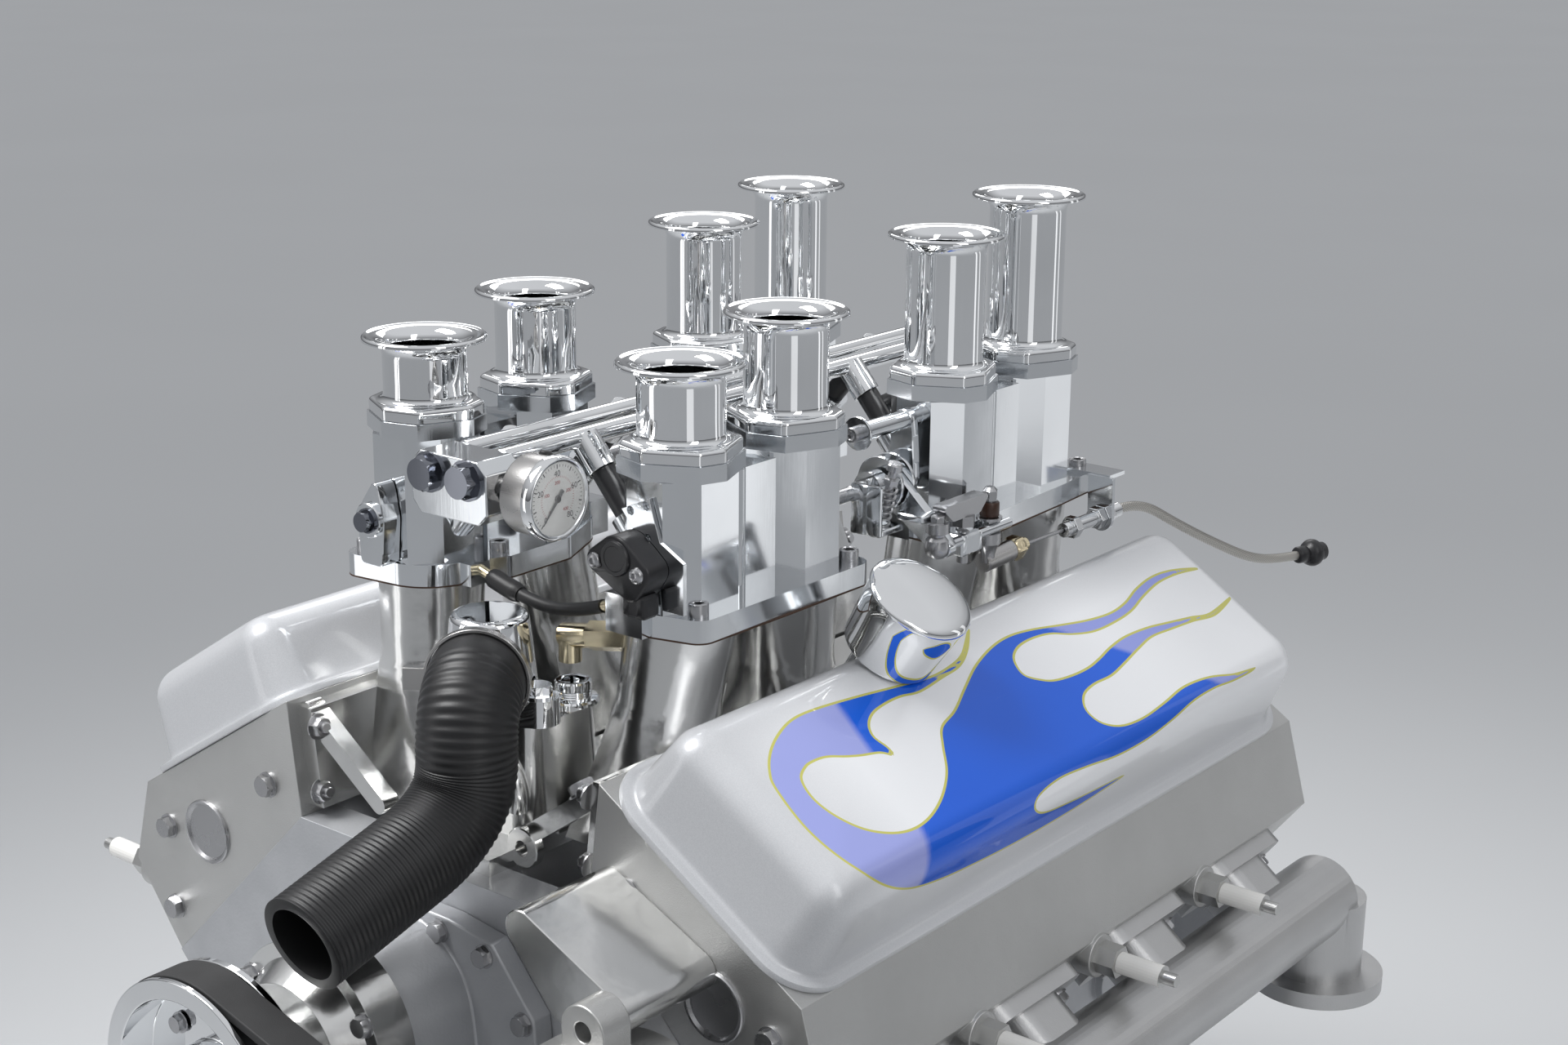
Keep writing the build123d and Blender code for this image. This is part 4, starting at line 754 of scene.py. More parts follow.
def makeCover(side):
    # point = origin + across * (inset outline) + height * normal; net = outline + outward * (top - height)
    sign = banks[side]["sign"]
    tilt = math.radians(coverLook["tilt"])
    across = np.array((sign * math.cos(tilt), 0, -math.sin(tilt)))
    normal = np.array((sign * math.sin(tilt), 0, math.cos(tilt)))
    x, y, z = coverLook["middle"]
    origin = np.array((sign * x, banks[side]["middle"] + y, z))
    grid, net = [], []
    for inset, height in coverProfile():
        points, away = coverOutline(inset)
        grid.append(origin + points[:, :1] * across + points[:, 1:] * behind + height * normal)
        net.append(points + away * (coverLook["height"] - min(height, coverLook["height"])))
    grid, (u, v) = np.array(grid), np.array(net).reshape(-1, 2).T
    flame = signedDistance(np.array(net).reshape(-1, 2), closedLine(flameOutline, 6))
    # painted shade and light: silver at the front end and along both long edges fades into pearl on the top
    tone = ramp(v, *coverShades["front"]) * ramp(u, *coverShades["outer"]) * ramp(-u, *coverShades["inner"])
    # periwinkle in front of one slanting line, and less strongly behind another
    wash = np.maximum(ramp(-v - coverShades["frontSlant"] * u, *coverShades["frontWash"]),
                      ramp(v - coverShades["rearSlant"] * u, *coverShades["rearWash"]))
    piece = surface(f"valve_cover_{side}_painted", [grid], "cover", sharp=40, replaced=f"valve_cover_{side}",
                    attributes={"flameDistance": flame, "tone": tone, "wash": wash})
    return piece, origin, across, normal


leftCover, coverOrigin, coverAcross, coverNormal = makeCover("left")
makeCover("right")
breatherLook = {"across": -51, "y": -330, "hole": (15.3, -5, 70), "drum": [
    (0, 1), (14.9, 1), (14.9, 52.6), (22.5, 52.6), (23.6, 53.4), (24.9, 54.2), (25.2, 55.2), (25.25, 57),
    (25.8875, 64.875), (26.525, 72.75), (27.1625, 80.625), (27.8, 88.5), (28.3, 89.2), (28.6, 90.2), (28.3, 91.4),
    (27.0, 92.6), (24.6, 93.6), (21, 94.2), (16, 94.7), (10, 95.0), (5, 95.15), (0, 95.2)],
    "grommet": [(15.25, 52.9), (19.5, 52.9), (19.5, 53.6), (18.6, 54.2), (15.25, 54.2)]}
capPlace = coverOrigin + breatherLook["across"] * coverAcross + np.array((0, breatherLook["y"] - coverOrigin[1], 0))


def cutHole(piece, place, aim, radius, low, high):
    # a round hole along aim, from low to high
    cutter = surface("cutter", [turned([(0, low), (radius, low), (radius, high), (0, high)], place, aim, 64)],
                     "chrome", slot="steel")
    boolean = piece.modifiers.new("hole", "BOOLEAN")
    boolean.operation, boolean.object, boolean.solver = "DIFFERENCE", cutter, "EXACT"
    graph = bpy.context.evaluated_depsgraph_get()
    mesh = bpy.data.meshes.new_from_object(piece.evaluated_get(graph))
    piece.modifiers.clear()
    piece.data = mesh
    bpy.data.objects.remove(cutter)


cutHole(leftCover, capPlace, coverNormal, *breatherLook["hole"])
surface("breather_drum", [turned(breatherLook["drum"], capPlace, coverNormal, 128)], "chrome", sharp=40,
        replaced="breather_cap")
surface("breather_grommet", [(turned(breatherLook["grommet"], capPlace, coverNormal, 64), True)], "rubber")
print("covers made")

# Coolant hose
hoseLook = {"outer": 25.0, "bore": 19.3, "ribPitch": 3.0, "ribHeight": 0.6, "ribStart": 12, "endRound": 0.8,
            "columns": 64, "lead": (1, 0.3, 0),
            "route": [(14.776, -491.871, 297.015), (32.111, -517.571, 297.015), (32.111, -517.571, 238.015),
                      (32.111, -595.0, 216.3), (32.111, -624.571, 208.015)]}


def makeHose():
    # radius = outer - ribHeight * (1 - cos(2 pi s / pitch)) / 2 with s along the path, then back along the bore
    path = splinePoints(hoseLook["route"], 60)
    lengths = runLengths(path)
    s = np.linspace(0, lengths[-1], int(lengths[-1] / hoseLook["ribPitch"] * 8))
    fine = np.stack([np.interp(s, lengths, path[:, axis]) for axis in range(3)], -1)
    ribs = 0.5 - 0.5 * np.cos(2 * math.pi * s / hoseLook["ribPitch"])
    outer = hoseLook["outer"] - hoseLook["ribHeight"] * ribs * np.clip((s - hoseLook["ribStart"]) / 3, 0, 1)
    outer[[0, -1]] -= hoseLook["endRound"]
    around = swept(fine, outer, hoseLook["columns"], hoseLook["lead"], caps=False)
    inside = swept(fine[::6], hoseLook["bore"], hoseLook["columns"], hoseLook["lead"], caps=False)[::-1]
    surface("coolant_hose_ribbed", [(np.concatenate([around, inside]), True)], "rubber", sharp=60,
            replaced="coolant_hose")


makeHose()
print("hose made")

# Pressure gauge
gaugeLook = {
    "centre": (0.0, -477.95, 394.0), "sweep": (228.0, -48.0), "reading": 0.0, "inkX": 57.98,
    "numbers": ("0", "20", "40", "60", "80"), "innerNumbers": ("0", "100", "200", "300", "400"),
    "case": [(0, 25.5), (5, 25.5), (5, 29), (8.0, 29, 1), (8.0, 35.5, 1), (5.2, 35.5), (5.2, 38), (18.6, 38),
             (19.6, 38.5), (20, 39.5), (20, 53.2), (20.6, 53.4), (20.9, 54), (20.9, 57.6), (20.5, 58.7), (19.6, 59.3),
             (18.9, 59.2), (18.2, 58.6), (18.0, 57.6), (0, 57.6)],
    "bezel": [(19.9, 53.3), (20.8, 53.5), (21.0, 54.2), (21.0, 57.6), (20.6, 58.9), (19.7, 59.5), (18.7, 59.3),
              (18.1, 58.6), (18.1, 58.0)],
    "dial": [(0, 57.2), (18.05, 57.2), (18.05, 57.9), (0, 57.9)],
    "lens": [(0, 58.9), (18.2, 58.8), (18.2, 59.0), (9, 59.25), (0, 59.35)],
    "hub": [(0, 57.9), (1.9, 57.9), (1.9, 58.6), (1.4, 58.9), (0, 58.9)],
    "pointer": {"ends": (-5.0, 15.4), "x": 58.4, "thin": 0.25},
    "fillPlug": {"x": 46, "aim": (0, 0.25, 1), "profile": [(0, 18), (3.4, 18), (3.4, 20.6), (2.6, 21.4), (0, 21.4)]},
    # name, inner and outer radius, half width, count, x and material
    "marks": [("fine", 15.7, 16.9, 0.16, 41, 57.96, "ink"), ("long", 14.9, 17.0, 0.34, 9, 57.98, "ink"),
              ("inner", 10.4, 11.4, 0.11, 45, 57.97, "redInk")],
}


def gaugePoint(radius, degrees, x):
    angle = math.radians(degrees)
    return (x, gaugeLook["centre"][1] + radius * math.cos(angle), gaugeLook["centre"][2] + radius * math.sin(angle))


def dialMarks(name, inner, outer, width, count, x, material):
    # one flat bar for each step of the scale: bar = middle direction * radius +- width * square direction
    degrees = np.radians(np.linspace(*gaugeLook["sweep"], count))
    ray = np.stack([np.cos(degrees), np.sin(degrees)], -1)
    square = np.stack([-ray[:, 1], ray[:, 0]], -1)
    corners = np.stack([inner * ray - width * square, inner * ray + width * square, outer * ray + width * square,
                        outer * ray - width * square], 1).reshape(-1, 2)
    points = np.c_[np.full(len(corners), x), corners + np.array(gaugeLook["centre"])[1:]] * 0.001
    mesh = bpy.data.meshes.new(name)
    mesh.from_pydata(points.tolist(), [], np.arange(len(corners)).reshape(-1, 4)[:, ::-1].tolist())
    makeObject(name, mesh, material)


def dialText(word, size, radius, degrees, material, name):
    # the text becomes a mesh, then its x runs along +Y, its y along +Z and its front faces +X
    curve = bpy.data.curves.new(name, "FONT")
    curve.body, curve.size, curve.align_x, curve.align_y = word, size * 0.001, "CENTER", "CENTER"
    curve.extrude = 0.00004
    holder = bpy.data.objects.new(name, curve)
    bpy.context.scene.collection.objects.link(holder)
    mesh = bpy.data.meshes.new_from_object(holder.evaluated_get(bpy.context.evaluated_depsgraph_get()))
    bpy.data.objects.remove(holder)
    move = Matrix((behind, upward, leftward)).transposed().to_4x4()
    move.translation = Vector(gaugePoint(radius, degrees, gaugeLook["inkX"])) * 0.001
    mesh.transform(move)
    makeObject(name, mesh, material)


def makeGauge():
    centre = gaugeLook["centre"]
    case, bezel, dial, lens, hub = (turned(gaugeLook[key], centre, leftward, columns) for key, columns in (
        ("case", 96), ("bezel", 96), ("dial", 64), ("lens", 64), ("hub", 32)))
    surface("gauge_case", [case], "brushed", sharp=28, replaced="pressure_gauge")
    surface("gauge_bezel", [(bezel, True)], "chrome", slot="coated_steel", sharp=40)
    surface("gauge_dial", [dial], "dial")
    surface("gauge_lens", [lens], "lens", sharp=60)
    for name, *facts in gaugeLook["marks"]:
        dialMarks("gauge_marks_" + name, *facts)
    start, end = gaugeLook["sweep"]
    for index, (word, inner) in enumerate(zip(gaugeLook["numbers"], gaugeLook["innerNumbers"])):
        degrees = start + (end - start) * index / (len(gaugeLook["numbers"]) - 1)
        dialText(word, 4.2, 12.4, degrees, "ink", f"gauge_number_{index}")
        dialText(inner, 2.5, 8.0, degrees, "redInk", f"gauge_inner_{index}")
    pointer = gaugeLook["pointer"]
    reading = start + (end - start) * gaugeLook["reading"]
    tail, tip = (np.array(gaugePoint(radius, reading, pointer["x"])) for radius in pointer["ends"])
    share = np.linspace(0, 1, 8)
    needle = swept(tail + (tip - tail) * share[:, None], np.interp(share, [0, 0.25, 1], [1.3, 1.1, 0.3]), 8, leftward)
    needle[..., 0] = pointer["x"] + (needle[..., 0] - pointer["x"]) * pointer["thin"]
    surface("gauge_pointer", [needle, hub], "ink", slot="black_plastic")
    filler = gaugeLook["fillPlug"]
    surface("gauge_fill_plug", [turned(filler["profile"], (filler["x"], *centre[1:]), filler["aim"], 24)], "rubber")


makeGauge()
print("gauge made")

# Throttle bodies, their screws and gaskets
bodyLook = {"front": ((23.5, -55.7), (25.0, 64.0), (-31.0, -21.0), (-31.0, 21.0)),
            "rear": ((25.0, -64.0), (17.0, 79.7), (-31.0, -21.0), (-31.0, 21.0)),
            "screwLift": 12, "screwSize": 5.2, "screwRound": 9.6, "boreRound": 29.6,
            "gasket": [(0.6, 0, -0.45), (1, 0, -0.45), (1, 0, 0.4), (0.6, 0, 0.4)]}
screwPlaces = []
for side, bank in banks.items():
    for end, pair in (("rear", 1), ("front", -1)):
        sign, middle = bank["sign"], bank["middle"] + pair * boreSpacing
        dressed(f"throttle_body_{side}_{end}", "billet", 0.55)
        places = [(sign * (rowX + out), middle + sign * along) for out, along in bodyLook[end]]
        screwPlaces += [(x, y, seamZ + bodyLook["screwLift"]) for x, y in places]
        circles = [(x, y, bodyLook["screwRound"]) for x, y in places]
        circles += [(sign * rowX, middle + q * pairHalf, bodyLook["boreRound"]) for q in (1, -1)]
        surface(f"gasket_{side}_{end}", [(hullSlab(circles, bodyLook["gasket"], 240, origin=(0, 0, seamZ)), True)],
                "gasket")
fasteners("base_screws", "socket", bodyLook["screwSize"], screwPlaces, upward, 36)
print("throttle bodies made")

# The other CAD nodes, dressed
dressing = {
    "billet": ("rail_block", "sensor_bracket", "cable_bracket"),
    "chrome": ("thermostat_housing", "crank_damper", "pump_pulley", "alternator_pulley", "cable_adjuster",
               "fuel_rails"),
    "casting": ("intake_left", "intake_right", "water_pump", "valley_cover", "alternator_bracket"),
    "rawCasting": ("head_left", "head_right", "alternator", "engine_mount_left", "engine_mount_right"),
    "paint": ("cylinder_block", "oil_pan", "timing_cover"),
    "coated": ("exhaust_manifold_left", "exhaust_manifold_right"),
    "brushed": ("hose_clamp",),
    "machined": ("crankshaft", "flywheel"),
    "brass": ("elbow_fitting",),
    "plastic": ("injectors",),
    "belt": ("drive_belt",),
    "filterPaint": ("oil_filter",),
}
edgeWidths = {"cylinder_block": 1.5, "oil_pan": 1.2, "head_left": 1.5, "head_right": 1.5, "exhaust_manifold_left": 1.5,
              "exhaust_manifold_right": 1.5, "timing_cover": 1.5, "intake_left": 1.2, "intake_right": 1.2,
              "alternator": 1.2, "water_pump": 1.5, "valley_cover": 1.5, "sensor_bracket": 0.3, "cable_bracket": 0.3,
              "hose_clamp": 0.25, "injectors": 0.3, "rail_block": 0.8, "elbow_fitting": 0.3, "cable_adjuster": 0.3}
# these keep the CAD node's own mesh and only take a material
for name, key in (("throttle_shaft_left", "machined"), ("throttle_shaft_right", "machined"),
                  ("spark_plugs_left", "plug"), ("spark_plugs_right", "plug"), ("vacuum_barbs", "brass")):
    nodes[name].data.materials.clear()
    nodes[name].data.materials.append(look[key])
for key, names in dressing.items():
    for name in names:
        dressed(name, key, edgeWidths.get(name, 0.6))
print("CAD nodes dressed")

# Throttle linkage between the left bodies
linkage = {
    "shaft": (78.607, 357.015), "rod": (118.0, 327.0), "stop": (80.0, 390.0), "leverY": -236.04, "thick": 6.0,
    "shaftRound": 10.0, "endRound": 6.0, "stopLever": 14, "rodEnds": (-246, -176),
    "stopFront": -30, "stopBack": -215.78,
    "discs": (2.4, -8.2), "disc": [(4.2, 0), (15, 0), (15.5, 0.5), (15.5, 1.6), (15, 2.1), (4.2, 2.1)],
    "hub": [(4.2, 0), (9, 0), (9, 9), (4.2, 9)], "hubFront": -13,
    "stopCap": [(0, 0), (9, 0), (9.4, 0.4), (9.4, 1.4), (9, 1.8), (0, 1.8)], "capFront": -32,
    "blocks": (((107, -226, 318), (121, -206, 330), 1.2), ((80, -275, 336), (100, -271.5, 364), 0.8),
               ((80, -273, 336), (83.5, -252, 364), 0.8), ((80, -273, 336), (100, -252, 339.5), 0.8),
               ((94, -252, 341), (112, -236, 345), 0.8)),
    "clevis": ((112.0, -193.0, 306.0), (114.0, -167.0, 307.8)), "wireEnd": (114.8, -100.0, 307.0),
    "cableEnd": [(0, 0), (6.0, 0), (7.4, 1.0, 1), (7.4, 7.0, 1), (6.0, 8.0), (4.0, 8.4), (4.0, 13), (0, 13)],
    "joint": (116.0, -243.5, 345.0),
    "jointProfile": [(0, 0), (3.4, 0), (4.2, 0.8, 1), (4.2, 3.4, 1), (6.4, 3.8), (6.4, 9.4), (4.6, 10.2), (4.4, 11.2),
                     (6.4, 13.4), (7.2, 17.2), (6.4, 20.8), (4.2, 23.4), (0, 24.4)],
    "tower": (114.0, -190.0, 350.0),
    "towerProfile": [(0, 0), (2.6, 0), (4.6, 2.2, 1), (4.6, 7.6, 1), (3.2, 8.0), (3.2, 17), (7.4, 17.2), (7.4, 18.8),
                     (4.4, 19.2), (4.8, 23.6, 1), (4.8, 26, 1), (7.0, 26.4), (7.0, 32.6), (5.2, 35.0), (4.0, 39.0),
                     (4.0, 44), (0, 44)],
    "spacer": [(3.3, 8.6), (5.2, 8.6), (5.6, 9.2), (5.6, 16.2), (5.2, 16.8), (3.3, 16.8)],
    "yoke": [(-238.5, 347.5, 2), (-201, 347.5, 2), (-232, 341.5, 2), (-207, 341.5, 2)], "yokeX": 110, "yokeThick": 9,
    "post": (115, -217), "postEnds": (312, 331), "nutZ": 333.8, "nut": [(0, 0), (6.8, 0, 1), (6.8, 6.0, 1), (0, 6.0)],
    "spring": ((101.0, -263.0, 376.0), (92.0, -263.0, 339.5)),
    "guide": [(0, 0), (3.6, 0), (4.4, 0.8), (4.4, 4.2), (2.4, 4.4), (2.4, 9), (4.6, 9.2, 1), (4.6, 12.4, 1),
              (2.4, 12.6), (2.4, 31), (0, 31)],
    "coilStart": 14, "coil": (4.3, 6, 0.75), "stopRadius": 5.2, "rodRadius": 3.0, "postRadius": 3.2,
    "clevisRadius": 6.2, "wireRadius": 1.1, "stopScrew": -33.8, "shaftScrew": -32, "screwSize": 4.4,
}


def lever(far, y):
    # hull of a circle round the shaft and one round the far hole, as thick as the lever
    circles = [(*linkage["shaft"], linkage["shaftRound"]), (*far, linkage["endRound"])]
    return hullSlab(circles, chamfered(linkage["thick"], 0.6), **facingFront, origin=(0, y, 0))


def tube(start, end, radius, edge=0.5):
    # a rod from start to end with chamfered ends
    start, end = np.asarray(start, float), np.asarray(end, float)
    length = np.linalg.norm(end - start)
    return turned([(0, 0), (radius - edge, 0), (radius, edge), (radius, length - edge), (radius - edge, length),
                   (0, length)], start, end - start, 32)


def coil(start, end, radius, turns, wire):
    # path = start + share * span + radius * (cos(2 pi turns share) * side + sin(2 pi turns share) * rise)
    side, rise = sideways(unit(end - start))
    share = np.linspace(0, 1, int(turns * 20))[:, None]
    angle = 2 * math.pi * turns * share
    path = start + share * (end - start) + radius * (np.cos(angle) * side + np.sin(angle) * rise)
    return swept(path, wire, 8, end - start)


def makeLinkage():
    y = linkage["leverY"]
    shaft, rod, stop = (lambda at, place=linkage[key]: (place[0], at, place[1]) for key in ("shaft", "rod", "stop"))
    levers = [lever(linkage["rod"], y), lever(linkage["stop"], y + linkage["stopLever"])]
    levers += [(turned(linkage["disc"], shaft(y + at), ahead, 64), True) for at in linkage["discs"]]
    levers += [(turned(linkage["hub"], shaft(y + linkage["hubFront"]), ahead, 48), True)]
    levers += [tube(stop(linkage["stopBack"]), stop(y + linkage["stopFront"]), linkage["stopRadius"]),
               turned(linkage["stopCap"], stop(y + linkage["capFront"]), ahead, 48),
               tube(*(rod(at) for at in linkage["rodEnds"]), linkage["rodRadius"])]
    levers += [box(*block) for block in linkage["blocks"]]
    surface("linkage_levers", levers, "billet", replaced="throttle_linkage")
    top, bottom, begin, end, wireEnd = np.array((*linkage["spring"], *linkage["clevis"], linkage["wireEnd"]))
    post = linkage["post"]
    joints = [turned(linkage["jointProfile"], linkage["joint"], down, 48),
              turned(linkage["towerProfile"], linkage["tower"], down, 48),
              hullSlab(linkage["yoke"], chamfered(linkage["yokeThick"], 0.4), across=behind, along=upward, aim=leftward,
                       origin=(linkage["yokeX"], 0, 0)),
              turned(linkage["nut"], (*post, linkage["nutZ"]), upward, 48),
              tube(*((*post, z) for z in linkage["postEnds"]), linkage["postRadius"]),
              turned(linkage["guide"], top, bottom - top, 36),
              coil(top + linkage["coilStart"] * unit(bottom - top), bottom, *linkage["coil"])]
    surface("linkage_joints", joints, "machined", sharp=30)
    surface("linkage_spacer", [(turned(linkage["spacer"], linkage["tower"], down, 40), True)], "phenolic")
    surface("linkage_clevis", [tube(begin, end, linkage["clevisRadius"], 0.9)], "brushed")
    surface("linkage_cable_end", [turned(linkage["cableEnd"], end, end - begin, 48)], "brass")
    wire = end + (wireEnd - end) * np.linspace(0, 1, 12)[:, None]
    surface("linkage_wire", [swept(wire, linkage["wireRadius"], 12, upward)], "machined")
    fasteners("linkage_screws", "socket", linkage["screwSize"],
              [stop(y + linkage["stopScrew"]), shaft(y + linkage["shaftScrew"])], ahead, 36)


makeLinkage()
print("linkage made")

# Fasteners and fittings on the rest
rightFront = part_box("throttle_body_right_front")[0][1] * 1000 + 4.5
fittings = {
    "sensor": [(62.3, 359.5, 6.4), (89.6, 357.0, 7.0), (75, 362, 12.0), (84, 349, 7.0)], "sensorFront": -442.4,
    "sensorRows": [(0, 0, 0), (1, 0, 0), (1, 0, 13.2), (1, 0.5, 14.2), (1, 1.6, 14.8), (0, 0, 14.8)],
    "sensorPlug": ((78, -456, 334), (93, -444, 346), 1.6),
    "sensorDisc": [(0, 0), (9.0, 0), (9.0, 1.2), (8.4, 2.0), (6.6, 2.0), (6.2, 1.6), (0, 1.6)],
    "shaftPlate": [(-80.5, 357, 10), (-77, 374, 3), (-86.5, 334.8, 2.5), (-75, 334.8, 2.5)],
    "shaftRows": [(0, 0, 0), (1, 0.5, 0), (1, 0, 0.5), (1, 0, 11.5), (1, 0.6, 12), (0, 0, 12)],
    "shaftBoss": [(0, 0), (9.4, 0), (9.4, 2.0), (8.8, 2.6), (0, 2.6)],
    "valleyPlug": [(0, 0), (13.5, 0), (13.5, 1.6), (12.6, 2.6), (9.6, 2.8), (9.6, 3.6), (9.1, 4.2), (9.6, 4.8),
                   (9.1, 5.4), (9.6, 6.0), (9.1, 6.6), (9.6, 7.2), (9.6, 11), (8.9, 11.8), (7.6, 11.9),
                   (6.6, 11.6, 1), (6.6, 7.0, 1), (0, 6.6)],
    "eye": [(4.2, 0), (10, 0), (10.6, 0.6), (10.6, 5.4), (10, 6), (4.2, 6)],
    "corePlug": [(0, 0.2), (15, 0.2), (16.4, 1.6), (17.6, 1.8), (18.2, 1.2), (18.4, -0.5), (0, -0.5)],
    "washer": [(0, -3), (30, -3), (30, 0.2), (29, 1.2), (0, 1.2)],
    "connector": [(0, 0), (4.6, 0), (5.0, 0.6), (5.0, 11), (4.0, 12), (4.0, 17), (0, 17)],
    "arch": {"middle": (2, -481.0, 232), "radius": 27, "wire": 6.0, "degrees": (-10, 200), "rows": 40},
    "webBolt": (-0.585, 0.0, 0.811), "runnerX": 86.4, "runnerAim": (-0.992, 0, 0.124),
    "exhaust": (220.165, 115.107), "exhaustAim": (0.792, -0.610), "exhaustLift": 9, "exhaustHalf": 31,
    "headEnd": 238, "headPlug": (172, 172), "headBolts": ((118, 214), (204, 118), (206, 166)),
    "timing": ((63, -44), (102, -2), (102, 38), (86, 72), (81, 146), (55, 174), (24, 178)), "timingY": -532,
    "injectorAim": (65.607, -76.5), "injector": (13.0, 404.515), "injectorOut": 29,
}


def ring(radius, degrees, y, x=0, z=0):
    # places round a wheel that turns about Y
    return [(x + radius * math.cos(a), y, z + radius * math.sin(a)) for a in np.radians(degrees)]


def paired(places):
    # each place on the vehicle's left, then its mirror image
    return [(sign * x, y, z) for x, y, z in places for sign in (1, -1)]


surface("throttle_sensor_housing", [
    hullSlab(fittings["sensor"], fittings["sensorRows"], 128, **facingFront, origin=(0, fittings["sensorFront"], 0)),
    turned(fittings["sensorDisc"], (76, -457.0, 363), ahead, 64), box(*fittings["sensorPlug"])], "plastic", sharp=40,
    replaced="throttle_sensor")
surface("shaft_plate", [
    hullSlab(fittings["shaftPlate"], fittings["shaftRows"], 128, **facingFront, origin=(0, rightFront, 0)),
    turned(fittings["shaftBoss"], (-80.0, rightFront - 12, 357), ahead, 64)], "billet", sharp=30)
surface("valley_plug", [turned(fittings["valleyPlug"], (22, -432, 270), upward, 48)], "chrome", slot="steel", sharp=30)
surface("front_web_eye", [(turned(fittings["eye"], (43, -487, 214), ahead, 48), True)], "casting")
arch = fittings["arch"]
archPath = ring(arch["radius"], np.linspace(*arch["degrees"], arch["rows"]), arch["middle"][1], arch["middle"][0],
                arch["middle"][2])
surface("valley_arch", [swept(archPath, arch["wire"], 24, behind)], "casting", sharp=50)
surface("damper_washer", [turned(fittings["washer"], (0, -667.0, 0), ahead, 48)], "machined", body="crank")

runnerNuts, exhaustBolts, headPlugs, headBolts, connectors = [], [], [], [], []
exhaustX, exhaustZ = np.array(fittings["exhaust"]) + fittings["exhaustLift"] * np.array(fittings["exhaustAim"])
for bank in banks.values():
    sign, middle = bank["sign"], bank["middle"]
    runnerNuts += [(sign * fittings["runnerX"], middle + port * boreSpacing, z) for port in (-2.05, -1, 0, 1, 1.98)
                   for z in (216, 252)]
    exhaustBolts += [(sign * exhaustX, middle + port * boreSpacing + q * fittings["exhaustHalf"], exhaustZ)
                     for port in (-1.5, -0.5, 0.5, 1.5) for q in (-1, 1)]
    for end, aim in ((-fittings["headEnd"], ahead), (fittings["headEnd"], behind)):
        x, z = fittings["headPlug"]
        headPlugs.append(turned(fittings["corePlug"], (sign * x, middle + end, z), aim, 48))
        headBolts += [((sign * x, middle + end, z), aim) for x, z in fittings["headBolts"]]
    out, fall = fittings["injectorAim"]
    for y in stackRow(middle):
        x, z = fittings["injector"]
        centre = np.array((sign * x, y, z)) + fittings["injectorOut"] * unit((sign * out, 0, fall))
        connectors.append(turned(fittings["connector"], centre, (0.25 * sign, 0.75, 0.2), 24))
surface("head_plugs", headPlugs, "machined")
surface("injector_connectors", connectors, "plastic")
runnerX, runnerY, runnerZ = fittings["runnerAim"]
exhaustOut, exhaustFall = fittings["exhaustAim"]
exhaustAims = [(exhaustOut, 0, exhaustFall)] * 8 + [(-exhaustOut, 0, exhaustFall)] * 8
# name, head, size, places, aims, and what differs from a machined steel fastener of 24 columns
bolts = [
    ("sensor_screws", "button", 4.3, [(62.3, -457.2, 359.5), (89.6, -457.2, 357.0)], ahead, {"columns": 36}),
    # the shaft screw and the rail plugs take chrome darkened as a painted reflection of dark surroundings
    ("shaft_screw", "hex", 5.8, [(-80.0, rightFront - 14.6, 357)], ahead,
     {"columns": 36, "material": "darkChrome", "slot": "steel"}),
    ("rail_plug_heads", "hex", 9.0, paired([(13, -493.9, 398.5)]), ahead,
     {"columns": 48, "material": "darkChrome", "replaced": "rail_plugs"}),
    ("thermostat_bolts", "hex", 7.0, [(30, -465, 284), (-34, -465, 284)], upward, {"material": "chrome"}),
    ("front_web_bolt", "hex", 7.0, [(77, -482.7, 249.5)], fittings["webBolt"], {}),
    ("runner_nuts", "nut", 5.6, runnerNuts[:10], (runnerX, runnerY, runnerZ), {}),
    ("runner_nuts_right", "nut", 5.6, runnerNuts[10:], (-runnerX, runnerY, runnerZ), {}),
    ("exhaust_bolts", "hex", 6.4, exhaustBolts, exhaustAims, {}),
    ("head_bolts", "hex", 6.2, *zip(*headBolts), {}),
    ("timing_bolts", "hex", 5.4, paired([(x, fittings["timingY"], z) for x, z in fittings["timing"]]), ahead, {}),
    ("pump_bolts", "hex", 5.4, ring(47, (30, 90, 150, 330), -597, 0, 135), ahead, {}),
    ("damper_bolt", "hex", 13.0, [(0, -658.5, 0)], ahead, {"columns": 48, "body": "crank"}),
    ("pump_pulley_bolts", "hex", 4.6, ring(36, (45, 135, 225, 315), -652, 0, 135), ahead, {"body": "pump_wheel"}),
    ("alternator_nut", "nut", 8.0, [(168, -659.3, 118)], ahead, {"body": "alternator_wheel"}),
    ("alternator_screws", "socket", 3.2, ring(54, (60, 180, 300), -610, 168, 118), ahead, {}),
    ("bracket_bolts", "hex", 7.0, [(164, -562, 189), (134, -546, 185), (108.2, -546, 215)], ahead, {}),
    ("pan_bolts", "hex", 4.6, [(sign * 144, y, -5) for sign in (1, -1) for y in range(-490, -29, 46)], down, {}),
    ("sump_plug", "hex", 9.0, [(138, -110, -160)], leftward, {}),
    ("filter_hexagon", "hex", 14.0, [(251.6, -470, 6)], leftward, {"columns": 48, "material": "filterPaint"}),
    ("rail_end_plugs", "hex", 6.2, paired([(13, -70.4, 404.5)]), behind, {"material": "darkChrome"}),
    ("flywheel_bolts", "hex", 7.0, ring(30, range(0, 360, 60), 28), behind, {"body": "crank"}),
    ("mount_bolts", "hex", 7.2, [(sign * 170, y, 20) for sign in (1, -1) for y in (-362, -298)],
     [(sign, 0, 0) for sign in (1, 1, -1, -1)], {}),
]
for *row, different in bolts:
    fasteners(*row, **different)

ringLook = {"teeth": 153, "inner": 150, "low": 158.6, "high": 162.3, "faces": (12, 22)}


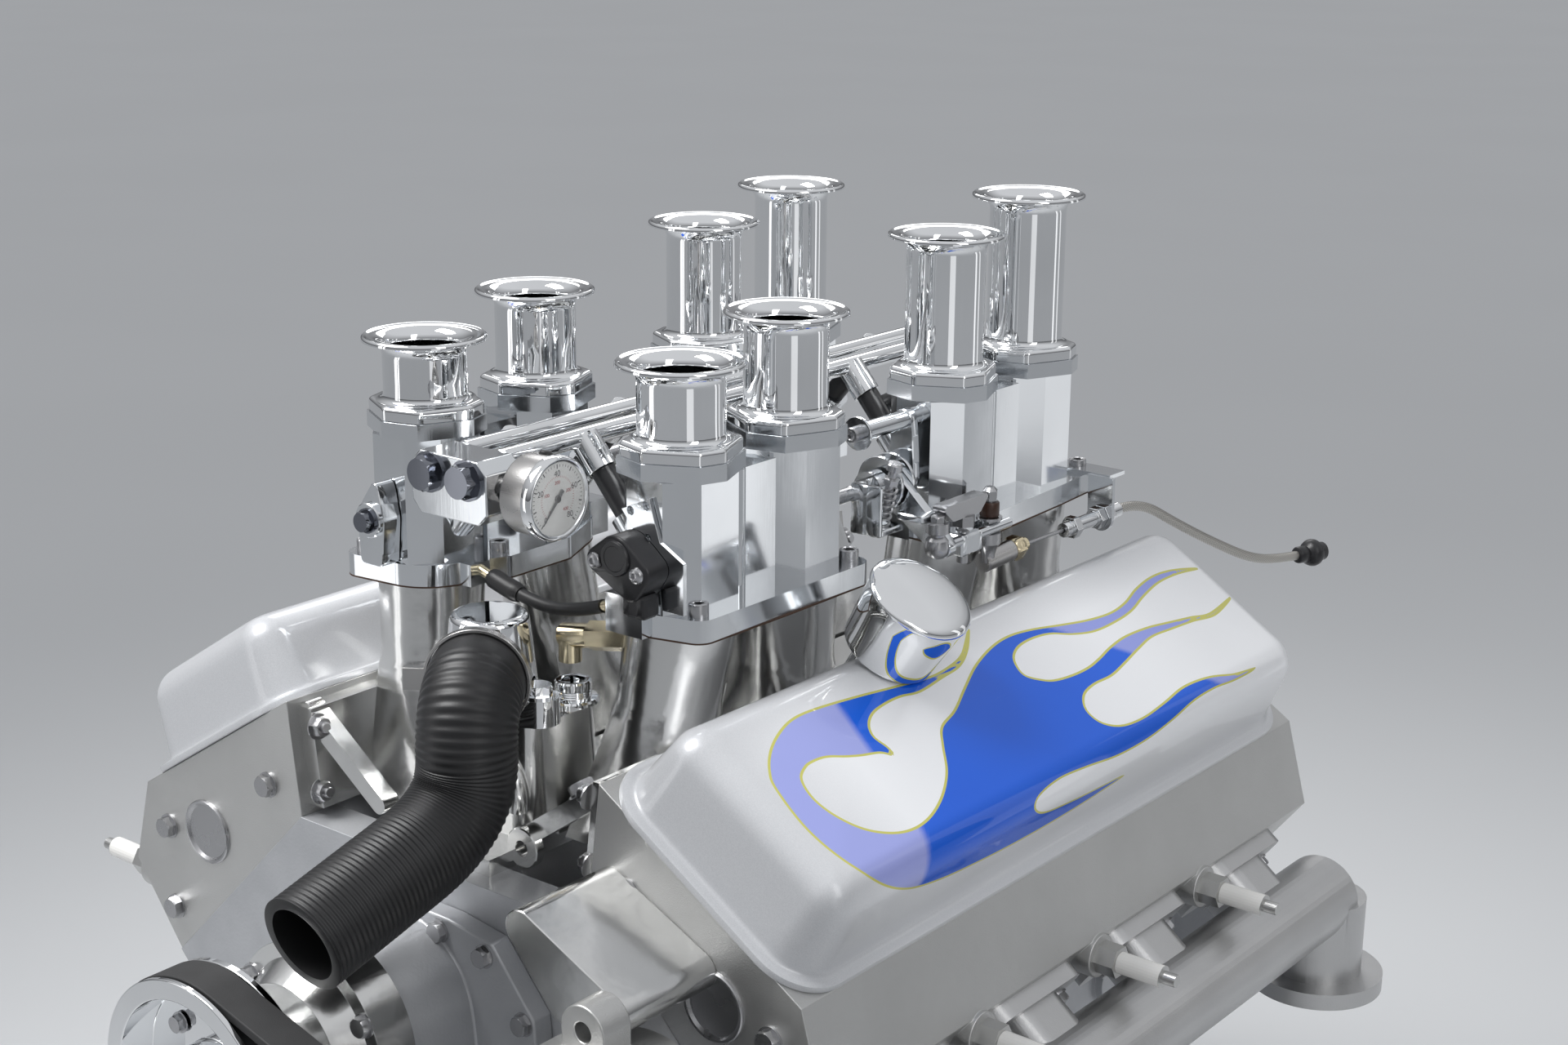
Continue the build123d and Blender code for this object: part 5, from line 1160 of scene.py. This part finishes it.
def ringGear():
    # radius(a) = low + (high - low) * tooth(a), with tooth 0, 1/2, 1, 1, 1, 1/2 at the six points of its pitch
    count = ringLook["teeth"] * 6
    phase = (np.arange(count) % 6) / 6
    tooth = np.clip(np.minimum(phase, 1 - phase) * 6 - 0.5, 0, 1)
    angle = np.arange(count) / count * 2 * math.pi
    outer = ringLook["low"] + (ringLook["high"] - ringLook["low"]) * tooth
    inner = np.full(count, ringLook["inner"])
    front, back = ringLook["faces"]
    return np.array([np.stack([radius * np.cos(angle), np.full(count, y), radius * np.sin(angle)], -1)
                     for radius, y in ((inner, front), (outer, front), (outer, back), (inner, back))])


surface("flywheel_teeth", [(ringGear(), True)], "machined", body="crank", sharp=20)
print("fasteners made")

# Room and light
# sizes in metres; each lamp has its place, size, power, the height that it aims at, and its spread in degrees
room = {"floorColour": (0.60, 0.61, 0.62), "horizon": (0.12, 0.123, 0.13), "zenith": (0.66, 0.67, 0.69),
        "skySpan": (0.05, 0.65), "floorHalf": 30, "floorGap": 0.0005, "aimY": -0.3,
        "lamps": {"key": ((-0.75, -1.0, 1.75), (0.9, 0.9), 5.6, 0.2, 66),
                  "fill": ((1.5, -0.75, 1.15), (0.5, 1.2), 1.0, 0.2, 90),
                  "back": ((-1.05, 1.0, 1.35), (1.3, 0.6), 1.7, 0.2, 90),
                  "sideStrip": ((0.94, 0.60, 0.42), (0.13, 1.0), 0.20, 0.42, 150),
                  "rearStrip": ((0.78, 0.98, 0.42), (0.13, 1.0), 0.15, 0.42, 150),
                  "frontStrip": ((-0.80, -1.38, 0.36), (0.20, 1.0), 0.45, 0.36, 150),
                  "farStrip": ((-0.58, -1.36, 0.36), (0.07, 1.0), 0.25, 0.36, 150),
                  "nearPanel": ((1.22, -0.98, 0.34), (0.40, 0.7), 0.28, 0.30, 150)}}


def makeRoom():
    half, z = room["floorHalf"], cadBox[0][2] - room["floorGap"]
    mesh = bpy.data.meshes.new("floor")
    mesh.from_pydata([(-half, -half, z), (half, -half, z), (half, half, z), (-half, half, z)], [], [(0, 1, 2, 3)])
    mesh.materials.append(floorMaterial(room["floorColour"]))
    floor = bpy.data.objects.new("floor", mesh)
    bpy.context.scene.collection.objects.link(floor)
    # the sky's colour = horizon to zenith by the height of the direction
    world = bpy.data.worlds.new("studio")
    world.use_nodes = True
    sky = Tree(world.node_tree)
    height = sky.axes(sky.step("ShaderNodeTexCoord", {}, {}, "Generated"))[2]
    stops = tuple(zip(room["skySpan"], (room["horizon"], room["zenith"])))
    sky.feed(world.node_tree.nodes["Background"].inputs["Color"],
             sky.step("ShaderNodeValToRGB", {"stops": stops}, {0: height}))
    bpy.context.scene.world = world
    for name, (place, size, power, aimZ, spread) in room["lamps"].items():
        data = bpy.data.lights.new(name, "AREA")
        data.shape, data.size, data.size_y, data.energy = "RECTANGLE", size[0], size[1], power
        data.spread = math.radians(spread)
        lamp = bpy.data.objects.new(name, data)
        bpy.context.scene.collection.objects.link(lamp)
        lamp.location = place
        aim = Vector((0, room["aimY"], aimZ)) - Vector(place)
        lamp.rotation_euler = aim.to_track_quat("-Z", "Y").to_euler()
        lamp.visible_camera = False


makeRoom()
bpy.context.scene.view_settings.view_transform = "Standard"
print("room made")

bpy.context.view_layer.update()
